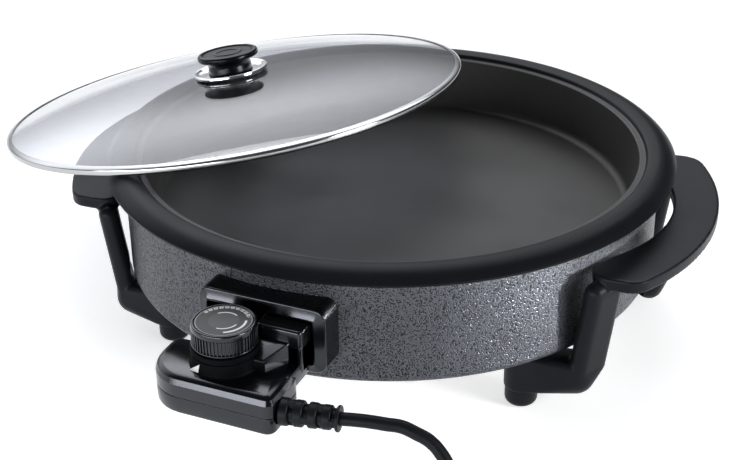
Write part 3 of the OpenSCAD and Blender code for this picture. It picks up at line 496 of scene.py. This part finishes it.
def add_object(name, data, material, body, slot, *nodes, crease=35):
    """Makes the object of a mesh or curve, on its body and in place of its CAD nodes."""
    data.materials.clear()
    data.materials.append(finish_of(material))
    if isinstance(data, bpy.types.Mesh):
        data.shade_smooth()
        data.set_sharp_from_angle(angle=math.radians(crease))
    obj = bpy.data.objects.new(name, data)
    bpy.context.scene.collection.objects.link(obj)
    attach(obj, body)
    if nodes:
        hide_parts(*nodes)
    return obj


def moulded_copy(node, voxel, passes):
    """A copy of a CAD node with its edges and inner corners run together, as a moulding has them."""
    bm = bmesh.new()
    bm.from_mesh(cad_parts[node].data)
    bmesh.ops.remove_doubles(bm, verts=bm.verts, dist=1e-6)
    mesh = bpy.data.meshes.new(node + "_source")
    bm.to_mesh(mesh)
    bm.free()
    source = bpy.data.objects.new(node + "_source", mesh)
    bpy.context.scene.collection.objects.link(source)
    remesh = source.modifiers.new("skin", "REMESH")
    remesh.mode = "VOXEL"
    remesh.voxel_size = voxel * MM
    relax = source.modifiers.new("relax", "SMOOTH")
    relax.factor = 0.5
    relax.iterations = passes
    graph = bpy.context.evaluated_depsgraph_get()
    made = bpy.data.meshes.new_from_object(source.evaluated_get(graph))
    bpy.data.objects.remove(source)
    bpy.data.meshes.remove(mesh)
    return made


def curve_points(start, middle, end, count):
    """Corners along a quadratic curve, end points included."""
    for i in range(count + 1):
        t = i / count
        yield tuple(
            (1 - t) ** 2 * a + 2 * t * (1 - t) * b + t * t * c for a, b, c in zip(start, middle, end)
        )


class PAN_OT_finishes(bpy.types.Operator):
    """Makes the materials"""

    bl_idname = "electric_pan.finishes"
    bl_label = "Finishes"

    def execute(self, context):
        colours = context.scene.pan_colours
        hammered_paint(colours)
        coated("lip_coating", tuple(colours.lip), 0.34, 900, 0.0001, 0.065, COOL_LIGHT_TINT)
        coated("nonstick", tuple(colours.coating), 0.48, 1100, 0.0002, 0.25)
        moulded("bakelite", tuple(colours.bakelite), 0.36, 0.12, COOL_LIGHT_TINT)
        moulded("gloss_plastic", tuple(colours.plastic), 0.15, 0.45, COOL_LIGHT_TINT)
        moulded("soft_rubber", tuple(colours.rubber), 0.45, 0.17, COOL_LIGHT_TINT)
        moulded("knob_black", tuple(colours.plastic), 0.24, 0.18, COOL_LIGHT_TINT)
        moulded("turret_black", tuple(colours.plastic), 0.5, 0.03, COOL_LIGHT_TINT)
        moulded("ceramic_white", (0.62, 0.60, 0.56), 0.5)
        moulded("switch_board", (0.16, 0.07, 0.03), 0.5)
        moulded("print_white", (0.62, 0.62, 0.62), 0.5)
        metal("bright_steel", tuple(colours.steel), 0.12)
        # The lid rim gets a darker copy of the bright steel: painted shade standing in for the dark
        # reflections along the rim.
        metal("shaded_rim_steel", shade(tuple(colours.steel), 0.54), 0.16)
        metal("sheet_steel", (0.42, 0.42, 0.43), 0.4)
        metal("element_steel", (0.26, 0.25, 0.24), 0.45)
        metal("brass", (0.72, 0.55, 0.28), 0.3)
        lid_glass_finish()
        dial_print(colours)
        floor_finish(colours)
        return {"FINISHED"}


class PAN_OT_pan(bpy.types.Operator):
    """Spins the pan with its lip and seat, and the painted wall round it"""

    bl_idname = "electric_pan.pan"
    bl_label = "Pan and wall"

    def execute(self, context):
        size = context.scene.pan_sizes
        crest, crest_z, lip = (v / MM for v in (size.crest, size.crest_height, size.lip))
        floor_z = size.floor_height / MM
        seat_z = crest_z - 4
        under_z = crest_z - 9
        sheet = 3
        roll = curve_points((crest, crest_z), (crest + 8.6, crest_z - 0.6), (lip, crest_z - 6.8), 10)
        section = [
            (0, floor_z, 0),
            (180.5, floor_z, 6),
            (184.5, seat_z, 0.9),
            (189, seat_z, 0.5),
            (190.6, crest_z - 1.1, 1.2),
            *((r, z, 0) for r, z in roll),
            (lip - 0.3, crest_z - 8.6, 0.5),
            (lip - 1.6, under_z, 0.5),
            (200.5, under_z, 0),
            (193, crest_z - 7.5, 0),
            (188, under_z, 0),
            (183.8, floor_z - sheet, 6),
            (0, floor_z - sheet, 0),
        ]
        pan = spun(section, PAN_STEPS, closed=False)
        shell = add_piece("pan_shell", pan, "lip_coating", "pan_body", "nonstick", "pan")
        shell.data.materials.append(finish_of("nonstick"))
        seat_edge = 0.1893
        for face in shell.data.polygons:
            if math.hypot(face.center.x, face.center.y) < seat_edge:
                face.material_index = 1
        wall, low = size.wall / MM, size.wall_low / MM
        fold_r = 186
        sheet = 1.5
        section = [
            (wall, under_z, 0),
            (wall, low, 6),
            (fold_r, low, 0.5),
            (fold_r, low + sheet, 0.5),
            (wall - sheet, low + sheet, 4.5),
            (wall - sheet, under_z, 0),
        ]
        skirt = spun(section, PAN_STEPS)
        painted = add_piece("painted_wall", skirt, "hammered_paint", "pan_body", "hammertone", "skirt")
        bpy.data.collections["sheen_on"].objects.link(painted)
        return {"FINISHED"}


class PAN_OT_handles(bpy.types.Operator):
    """Moulds the two handles with their legs"""

    bl_idname = "electric_pan.handles"
    bl_label = "Handles"

    def execute(self, context):
        for node in ("handle_right", "handle_left"):
            mesh = moulded_copy(node, voxel=1.1, passes=4)
            add_object(node + "_moulding", mesh, "bakelite", "pan_body", "bakelite", node, crease=80)
        return {"FINISHED"}


class PAN_OT_feet(bpy.types.Operator):
    """Turns the four feet under the legs"""

    bl_idname = "electric_pan.feet"
    bl_label = "Feet"

    def execute(self, context):
        for name in ("foot_front_right", "foot_back_right", "foot_front_left", "foot_back_left"):
            low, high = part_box(name)
            middle = (low + high) / 2
            tall = (high.z - low.z) / MM
            radius = (high.x - low.x) / 2 / MM
            head_r, shank_r, head_deep = 4.1, 2.6, 9
            section = [
                (head_r, head_deep, 0),
                (head_r, 0, 0.8),
                (radius, 0, 5.5),
                (radius, tall, 0.5),
                (shank_r, tall, 0),
                (shank_r, head_deep, 0),
            ]
            foot = moved(spun(section, 64), Matrix.Translation((middle.x, middle.y, low.z)))
            add_piece(name + "_pad", foot, "bakelite", "pan_body", "bakelite", name)
        return {"FINISHED"}


def lid_place(size):
    """Where the lid leans."""
    middle = (size.shift * math.cos(size.lean), size.shift * math.sin(size.lean), size.height)
    turn = Matrix.Rotation(size.lean, 4, "Z") @ Matrix.Rotation(size.tilt, 4, "Y")
    return Matrix.Translation(middle) @ turn


class PAN_OT_lid(bpy.types.Operator):
    """Spins the lid's glass dome and the steel rim rolled round its edge"""

    bl_idname = "electric_pan.lid"
    bl_label = "Lid"

    def execute(self, context):
        size = context.scene.lid_sizes
        place = lid_place(size)
        sheet, fit, foot = 0.9, 0.1, 0.9
        edge = size.radius / MM - sheet
        crown, thick = size.dome / MM, size.glass / MM

        def dome(r, low, high):
            return low + (high - low) * (1 - (r / edge) ** 3)

        radii = [edge * (i / 40) for i in range(41)]
        under = [(r, dome(r, foot, crown - thick), 0) for r in radii]
        over = [(r, dome(r, foot + thick, crown), 0) for r in reversed(radii)]
        glass = moved(spun(under + over, LID_STEPS, closed=False), place)
        add_piece("lid_dome", glass, "clear_glass", "lid_body", "lid_glass", "lid_glass")
        inner = edge - 3.7
        high = dome(inner, foot + thick, crown)
        low = dome(inner, foot, crown - thick)
        section = [
            (inner, high + sheet, 0.35),
            (edge - 0.4, foot + thick + 1.0, 1.3),
            (edge + sheet, foot + thick - 0.3, 1.2),
            (edge + sheet, foot, 0.6),
            (edge, 0.1, 0.5),
            (inner, low - sheet, 0.35),
            (inner, low - fit, 0),
            (edge + fit, foot - fit, 0),
            (edge + fit, foot + thick + fit, 0),
            (inner, high + fit, 0),
        ]
        rim = moved(spun(section, LID_STEPS), place)
        add_piece("lid_rolled_rim", rim, "shaded_rim_steel", "lid_body", "bright_steel", "lid_rim", crease=45)
        return {"FINISHED"}


class PAN_OT_knob(bpy.types.Operator):
    """Turns the lid's knob and the bright ring under it"""

    bl_idname = "electric_pan.knob"
    bl_label = "Knob"

    def execute(self, context):
        size = context.scene.lid_sizes
        place = lid_place(size)
        tall = 19
        base = size.dome / MM
        top = base + tall
        cap = [
            (0, top - 1.5, 0),
            (8.4, top - 1.5, 0.3),
            (9.1, top - 0.7, 0.4),
            (11.7, top - 0.7, 0.4),
            (12.4, top - 1.5, 0.3),
            (19.6, top - 1.2, 0.3),
            (20.2, top - 1.7, 0.2),
            (21.0, top - 1.7, 0.2),
            (21.8, top - 0.2, 0.7),
            (25, top - 1.0, 1.6),
            (25, top - 5.4, 2),
            (19.4, top - 7.2, 1.6),
            (17.4, top - 9.6, 2.4),
            (18.6, base + 2.4, 0.8),
            (0, base + 2.4, 0),
        ]
        knob = moved(spun(cap, KNOB_STEPS, closed=False), place)
        add_piece("knob_moulding", knob, "knob_black", "lid_body", "bakelite", "lid_knob")
        saucer = [
            (4, base + 2.2, 0.2),
            (19, base + 2.2, 0.5),
            (26.4, base + 1.7, 2),
            (28.6, base + 4.2, 0.7),
            (30.2, base + 4.4, 0.8),
            (30.5, base + 1.0, 1.4),
            (27, base - 0.1, 0.8),
            (4, base + 0.3, 0.2),
        ]
        ring = moved(spun(saucer, KNOB_STEPS), place)
        add_piece("knob_saucer", ring, "bright_steel", "lid_body", "bright_steel", "knob_ring")
        return {"FINISHED"}


class PAN_OT_shroud(bpy.types.Operator):
    """Builds the shroud round the pan's connector, open to the front"""

    bl_idname = "electric_pan.shroud"
    bl_label = "Connector shroud"

    def execute(self, context):
        low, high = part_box("connector_shroud")
        half, z0, z1, front = high.x / MM, low.z / MM, high.z / MM, -low.y / MM
        back, brow = 190, front - 2.67
        rim = 6.6
        bm = prism([(-half, z0, 8), (half, z0, 8), (half, z1, 8), (-half, z1, 8)], back, brow)
        soften(bm, level_edges(bm, brow), 1.5, 5)
        face = terrace(bm, top_face(bm), [(5.4, 2.07), (0.7, 0.6)])
        ring = face.edges[:]
        bm.faces.remove(face)
        wide, low_in, high_in = half - rim, z0 + rim, z1 - rim
        mouth = [(-wide, low_in), (wide, low_in), (wide, high_in), (-wide, high_in)]
        corners = [bm.verts.new((x * MM, z * MM, front * MM)) for x, z in mouth]
        bm.faces.new(corners)
        round_corners(bm, corners, [5] * 4)
        bm.normal_update()
        face = top_face(bm)
        bmesh.ops.bridge_loops(bm, edges=ring + face.edges[:])
        terrace(bm, face, [(0.5, -0.5), (0.01, -12)])
        window_half, window_low, window_high, window_deep = 22.8, 71.2, 90.8, 5.5
        across, up = (1, 0, 0), (0, 1, 0)
        cuts = [(window_half, across), (-window_half, across), (window_low, up), (window_high, up)]
        floor = [face]
        for where, normal in cuts:
            point = Vector(normal) * where * MM
            geom = list(dict.fromkeys(g for f in floor for g in [f, *f.edges, *f.verts]))
            cut = bmesh.ops.bisect_plane(bm, geom=geom, plane_co=point, plane_no=normal, dist=1e-6)
            floor = [g for g in cut["geom"] if isinstance(g, bmesh.types.BMFace)]
        middles = [(f, f.calc_center_median() / MM) for f in floor]
        hole = [
            f for f, mid in middles if abs(mid.x) < window_half and window_low < mid.y < window_high
        ]
        if len(hole) != 1:
            raise RuntimeError("the shroud's floor has no single window face")
        for f in bmesh.ops.extrude_discrete_faces(bm, faces=hole)["faces"]:
            bmesh.ops.translate(bm, verts=f.verts, vec=(0, 0, -window_deep * MM))
        stand = Matrix.Rotation(math.radians(90), 4, "X")
        add_piece(
            "shroud_moulding",
            moved(bm, stand),
            "gloss_plastic",
            "pan_body",
            "gloss_black",
            "connector_shroud",
            crease=FACET_CREASE,
        )
        return {"FINISHED"}


def dial_place():
    """Where the dial's axis stands."""
    return Matrix.Translation((*DIAL_AXIS, 0))


class PAN_OT_control(bpy.types.Operator):
    """Builds the plug-in control: its two half shells, neck, turret and pointer"""

    bl_idname = "electric_pan.control"
    bl_label = "Control"

    def execute(self, context):
        outline = [(37, -228, 16), (-56, -228, 8), (-56, -274, 27), (37, -274, 6.5)]
        foot_z, seam_low, seam_high, brow_z = 52, 64.1, 64.5, 73.4
        low = prism(outline, foot_z, seam_low)
        soften(low, level_edges(low, foot_z), 2.4, 5)
        soften(low, level_edges(low, seam_low), 0.4, 2)
        shell = ("gloss_plastic", "control_body", "gloss_black")
        add_piece("control_lower_shell", low, *shell, "control_bottom")
        bar = prism(outline, seam_high, brow_z)
        soften(bar, level_edges(bar, seam_high), 0.4, 2)
        terrace(bar, top_face(bar), [(1.35, 3.5), (1.3, 1.2), (1.5, 0.8), (1.6, 0.3)])
        section = [
            (0, 70, 0),
            (23.4, 70, 0),
            (23.4, 79.3, 0),
            (22.2, 80.2, 0.8),
            (22, 88.2, 0.2),
            (21.3, 88.3, 0),
            (21.3, 88.8, 0),
            (22.2, 88.9, 0.3),
            (22.2, 92.9, 0.9),
            (0, 92.9, 0),
        ]
        turret = moved(spun(section, 96, closed=False), dial_place())
        add_piece(
            "control_turret", turret, "turret_black", "control_body", "gloss_black", crease=FACET_CREASE
        )
        whole = joined(bar, *self.neck())
        add_piece("control_upper_shell", whole, *shell, "control_top", crease=FACET_CREASE)
        wedge = bmesh.new()
        corners = [(-26.2, -262.4, 79), (-17.8, -265.6, 80.6), (-16.6, -265.2, 86.6)]
        wedge.faces.new([wedge.verts.new(Vector(p) * MM) for p in corners])
        bmesh.ops.solidify(wedge, geom=wedge.faces[:], thickness=1.6 * MM)
        add_piece("control_pointer", wedge, "print_white", "control_body", "gloss_black")
        return {"FINISHED"}

    def neck(self):
        """The sloping neck behind the turret, the two blocks that go into the shroud and a low apron."""
        plan = [(-9.9, -228, 0), (-9.9, -248, 0), (19.1, -248, 1), (28.1, -231, 1), (28.1, -228, 0)]
        ramp_top = 93
        ramp = prism(plan, 73, ramp_top)
        soften(ramp, level_edges(ramp, ramp_top), 1.2, 4)
        drop, drop_from, drop_run = 0.0055, -0.230, 0.019
        for vert in ramp.verts:
            if vert.co.z > 0.09:
                vert.co.z -= drop * min(max((drop_from - vert.co.y) / drop_run, 0), 1)
        yield ramp
        right, foot = 36, 70.5
        for left, top, edge in ((-36, 91, 1.6), (4, 101.5, 2.6)):
            plan = [(left, -230, edge), (right, -230, edge), (right, -205, 2), (left, -205, 2)]
            block = prism(plan, foot, top)
            soften(block, level_edges(block, foot) + level_edges(block, top), edge, 5)
            yield block
        foot, top = 66.5, 78.6
        apron = prism([(13.6, -247, 1), (35.6, -247, 1), (35.6, -218, 1), (13.6, -218, 1)], foot, top)
        soften(apron, level_edges(apron, foot) + level_edges(apron, top), 1, 3)
        yield apron


class PAN_OT_dial(bpy.types.Operator):
    """Turns the ribbed dial and its printed disc"""

    bl_idname = "electric_pan.dial"
    bl_label = "Dial"

    def execute(self, context):
        axis = dial_place()
        body = [
            (0, 93.3, 0),
            (20.6, 93.3, 0.3),
            (21.4, 93.8, 0.3),
            (21.4, 94.8, 0.3),
            (20.2, 95.2, 0),
            (20.2, 104.2, 0),
            (20.9, 104.7, 0.3),
            (20.9, 107.0, 1.0),
            (20.3, 108.6, 0.6),
            (19, 108.6, 0.4),
            (18.4, 107.9, 0),
            (0, 107.9, 0),
        ]
        turned = spun(body, 144, closed=False)
        tooth = [(19.8, -0.62, 0), (21.1, -0.42, 0.2), (21.1, 0.42, 0.2), (19.8, 0.62, 0)]
        rib = prism(tooth, 94.9, 104.5)
        parts = [turned]
        for i in range(RIBS):
            parts.append(moved(rib.copy(), Matrix.Rotation(FULL_TURN * i / RIBS, 4, "Z")))
        rib.free()
        whole = moved(joined(*parts), axis)
        add_piece("dial_grip", whole, "gloss_plastic", "dial_body", "gloss_black", "dial")
        plate = [(0, 107.7, 0), (18.2, 107.7, 0), (18.2, 108.25, 0.1), (0, 108.25, 0)]
        disc = moved(spun(plate, 96, closed=False), axis)
        add_piece("dial_face", disc, "dial_print", "dial_body", "disc_grey", "dial_disc")
        return {"FINISHED"}


RELIEF_ROOT = (37, -262, 64.5)
RELIEF_TURN = math.radians(10)
RELIEF_LENGTH = 38
CORD_ROUTE = (
    (83.5, -253, 64.5),
    (92.5, -250.5, 64),
    (101.5, -248, 63),
    (110.5, -245.5, 62),
    (119.5, -244.5, 59),
    (128, -243.5, 55),
    (135.5, -244.5, 49),
    (141.5, -247, 42.5),
    (146, -251.5, 35.5),
    (149, -257, 28.5),
    (151, -264, 22.5),
    (152.5, -272, 17.5),
    (153, -280.5, 13.5),
    (153.5, -289.5, 10.5),
    (154, -298.5, 8.5),
    (154, -308, 7),
    (154, -317.4, 5.9),
)
COIL_AT = (210, -326)
COIL_LOW = 5.9
PLUG_ROOT = (266, -301, 15.3)
SOFT = ("soft_rubber", "control_body", "rubber")


def relief_end():
    """Where the cord leaves its strain relief, in millimetres."""
    x, y, z = RELIEF_ROOT
    return (x + RELIEF_LENGTH * math.cos(RELIEF_TURN), y + RELIEF_LENGTH * math.sin(RELIEF_TURN), z)


def coil_points(size):
    """The coil: one turn inwards on the table, half a turn up, one turn outwards on top."""
    radius, step = size.coil_radius / MM, size.coil_step / MM
    knots, sweep = 60, 900
    for i in range(knots + 1):
        turn = sweep * i / knots
        inward = min(turn, 360) / 360
        climb = min(max((turn - 360) / 180, 0), 1)
        outward = max(turn - 540, 0) / 360
        r = radius - step * (inward - outward)
        z = COIL_LOW + step * climb * climb * (3 - 2 * climb)
        a = math.radians(180 + turn)
        yield (COIL_AT[0] + r * math.cos(a), COIL_AT[1] + r * math.sin(a), z)


class PAN_OT_cord(bpy.types.Operator):
    """Lays the cord from its strain relief to the tied coil and its plug"""

    bl_idname = "electric_pan.cord"
    bl_label = "Cord"

    def execute(self, context):
        size = context.scene.cord_sizes
        points = [relief_end(), *CORD_ROUTE, *coil_points(size), PLUG_ROOT]
        curve = bpy.data.curves.new("mains_cord", "CURVE")
        curve.dimensions = "3D"
        curve.resolution_u = 6
        curve.bevel_depth = size.diameter / 2
        curve.bevel_resolution = 6
        curve.use_fill_caps = True
        spline = curve.splines.new("BEZIER")
        spline.bezier_points.add(len(points) - 1)
        for knot, point in zip(spline.bezier_points, points):
            knot.co = Vector(point) * MM
            knot.handle_left_type = knot.handle_right_type = "AUTO"
        cord = add_object("mains_cord", curve, *SOFT, "cord", "cord_coil")
        sleeve = self.relief()
        plug = self.plug()
        length = sum((Vector(a) - Vector(b)).length for a, b in zip(points, points[1:])) * MM
        return {"FINISHED"}

    def relief(self):
        """The strain relief: rings round the cord, bridged by turns above and beside it."""
        bore, root, end, steps = 4.4, 4.6, RELIEF_LENGTH, 56
        parts = [spun([(bore, 0, 0), (5.6, 0, 0), (5.0, end, 0), (bore, end, 0)], 48)]
        for i, start in enumerate((0, 9.2, 18.2, 27)):
            outer = 8.9 - 0.035 * start
            stop = start + 6
            section = [(root, start, 0), (outer, start, 1.2), (outer - 0.2, stop, 1.2), (root, stop, 0)]
            parts.append(spun(section, steps))
            for side in (0, math.pi):
                reach, half = outer - 0.5, 2.6
                wide = [(root, -half, 0), (reach, -half, 0.8), (reach, half, 0.8), (root, half, 0)]
                web = prism(wide, start + 5.4, start + 9.6)
                parts.append(moved(web, Matrix.Rotation(side + (i % 2) * math.pi / 2, 4, "Z")))
        flange = [(root, 35.4, 0), (7.2, 35.4, 0.6), (8.4, 36.4, 0.5), (8.4, end, 0.5), (root, end, 0)]
        parts.append(spun(flange, steps))
        lay = (
            at(*RELIEF_ROOT)
            @ Matrix.Rotation(RELIEF_TURN, 4, "Z")
            @ Matrix.Rotation(math.radians(90), 4, "Y")
        )
        whole = moved(joined(*parts), lay)
        return add_piece("cord_relief", whole, *SOFT, "strain_relief")

    def plug(self):
        """The moulded plug with its ribbed neck."""
        section = [(4.3, 0, 0)]
        for i in range(4):
            grow, start = 0.5 * i, 3.2 * i
            section += [(6.6 + grow, start, 0.4), (6.9 + grow, start + 1.9, 0.4)]
            section.append((5.6 + grow, start + 2.0, 0))
        section += [(8, 14, 1), (15.3, 18, 4), (15.3, 36.5, 0.6), (14.6, 37.2, 0.3)]
        section += [(14.6, 40, 1), (0, 40, 0)]
        body = spun(section, 72, closed=False)
        lay = at(*PLUG_ROOT) @ Matrix.Rotation(math.radians(-90), 4, "X")
        return add_piece("mains_plug", moved(body, lay), *SOFT, "plug")


CAD_FINISHES = {
    "base_plate": "sheet_steel",
    "base_screws": "bright_steel",
    "standoffs": "sheet_steel",
    "heating_element": "element_steel",
    "element_clips": "sheet_steel",
    "connector_pins": "bright_steel",
    "pin_bushings": "ceramic_white",
    "probe_sleeve": "sheet_steel",
    "shroud_screws": "bright_steel",
    "leg_screws": "bright_steel",
    "knob_washer": "bright_steel",
    "knob_screw": "bright_steel",
    "control_screws": "bright_steel",
    "thermostat": "switch_board",
    "probe": "bright_steel",
    "contact_sockets": "brass",
    "dial_shaft": "brass",
    "coil_tie": "soft_rubber",
    "plug_pins": "brass",
}


class PAN_OT_fittings(bpy.types.Operator):
    """Gives the fittings that keep their CAD shapes their finishes"""

    bl_idname = "electric_pan.fittings"
    bl_label = "Fittings"

    def execute(self, context):
        for node, material in CAD_FINISHES.items():
            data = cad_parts[node].data
            data.materials.clear()
            data.materials.append(finish_of(material))
        return {"FINISHED"}


LENS = 67.2
SENSOR = 36
CAMERA_PLACE = (0.37731, -0.88890, 0.55868)
CAMERA_TURN = (62.5153, 0.5293, 23.4749)


class PAN_OT_stage(bpy.types.Operator):
    """Sets up the floor, the soft light and the camera"""

    bl_idname = "electric_pan.stage"
    bl_label = "Stage"

    def execute(self, context):
        scene = context.scene
        bm = bmesh.new()
        bmesh.ops.create_circle(bm, cap_ends=True, segments=96, radius=9)
        mesh = bpy.data.meshes.new("studio_floor")
        bm.to_mesh(mesh)
        bm.free()
        mesh.materials.append(finish_of("studio_floor"))
        floor = bpy.data.objects.new("studio_floor", mesh)
        scene.collection.objects.link(floor)
        self.lamp("overhead", (-0.6, 1.4, 2.3), (0, 0, 0), (3.0, 1.8), 44)
        self.lamp("front_strip", (-0.6, -2.4, 0.31), (0, 0, 0.1), (3.0, 0.32), 40)
        self.lamp("right_side", (2.0, -0.2, 0.6), (0.1, 0, 0.1), (0.7, 0.7), 40)
        sheen = self.lamp("wall_sheen", (2.0, 0.1, 0.14), (0.12, -0.21, 0.08), (0.25, 0.15), 1.25)
        # The sheen is a narrow beam for the painted wall alone.
        sheen.data.spread = math.radians(10)
        sheen.light_linking.receiver_collection = bpy.data.collections.new("sheen_on")
        self.room(scene)
        data = bpy.data.cameras.new("camera")
        data.lens = LENS
        data.sensor_width = SENSOR
        camera = bpy.data.objects.new("camera", data)
        camera.location = CAMERA_PLACE
        camera.rotation_euler = [math.radians(v) for v in CAMERA_TURN]
        scene.collection.objects.link(camera)
        scene.camera = camera
        scene.view_settings.view_transform = "Standard"
        return {"FINISHED"}

    def lamp(self, name, place, target, extent, power):
        """A soft rectangular light that looks at a point."""
        data = bpy.data.lights.new(name, "AREA")
        data.shape = "RECTANGLE"
        data.size, data.size_y = extent
        data.energy = power
        lamp = bpy.data.objects.new(name, data)
        lamp.location = place
        lamp.rotation_euler = (Vector(target) - Vector(place)).to_track_quat("-Z", "Y").to_euler()
        bpy.context.scene.collection.objects.link(lamp)
        return lamp

    def room(self, scene):
        """A dim room with a soft glow behind the pan on its left."""
        world = bpy.data.worlds.new("studio")
        world.use_nodes = True
        scene.world = world
        tree = world.node_tree
        way = Wire(tree, tree.nodes.new("ShaderNodeTexCoord").outputs["Generated"])
        x, y, z = way.axes()
        glow = (y * 0.53 - x * 0.75 + z * 0.4).step(0.58, 1.0) * z.step(0.02, 0.38, 0.16, 1.0)
        colour = glow.blend((0.10, 0.105, 0.115), (2.2, 2.24, 2.34))
        tree.links.new(colour.socket, tree.nodes["Background"].inputs["Color"])


class PAN_PT_panel(bpy.types.Panel):
    """Lists the steps and sizes of the pan"""

    bl_idname = "PAN_PT_panel"
    bl_label = "Electric Pan"
    bl_space_type = "VIEW_3D"
    bl_region_type = "UI"
    bl_category = "Electric Pan"

    def draw(self, context):
        for step in STEPS:
            self.layout.operator(step.bl_idname)
        for group in GROUPS:
            box = self.layout.box()
            box.label(text=group.__doc__)
            for key in group.__annotations__:
                box.prop(getattr(context.scene, GROUPS[group]), key)


GROUPS = {
    PanSizes: "pan_sizes",
    LidSizes: "lid_sizes",
    CordSizes: "cord_sizes",
    PanColours: "pan_colours",
}
STEPS = (
    PAN_OT_finishes,
    PAN_OT_stage,
    PAN_OT_cord,
    PAN_OT_pan,
    PAN_OT_handles,
    PAN_OT_feet,
    PAN_OT_lid,
    PAN_OT_knob,
    PAN_OT_shroud,
    PAN_OT_control,
    PAN_OT_dial,
    PAN_OT_fittings,
)


def register():
    """Makes the steps, sizes and panel known."""
    for cls in (*GROUPS, *STEPS, PAN_PT_panel):
        bpy.utils.register_class(cls)
    for group, name in GROUPS.items():
        setattr(bpy.types.Scene, name, bpy.props.PointerProperty(type=group))


def unregister():
    """Takes the steps, sizes and panel away again."""
    for name in GROUPS.values():
        delattr(bpy.types.Scene, name)
    for cls in (PAN_PT_panel, *reversed(STEPS), *reversed(GROUPS)):
        bpy.utils.unregister_class(cls)


def main():
    """Builds the whole pan."""
    register()
    for step in STEPS:
        space, name = step.bl_idname.split(".")
        getattr(getattr(bpy.ops, space), name)()


if __name__ == "__main__":
    main()
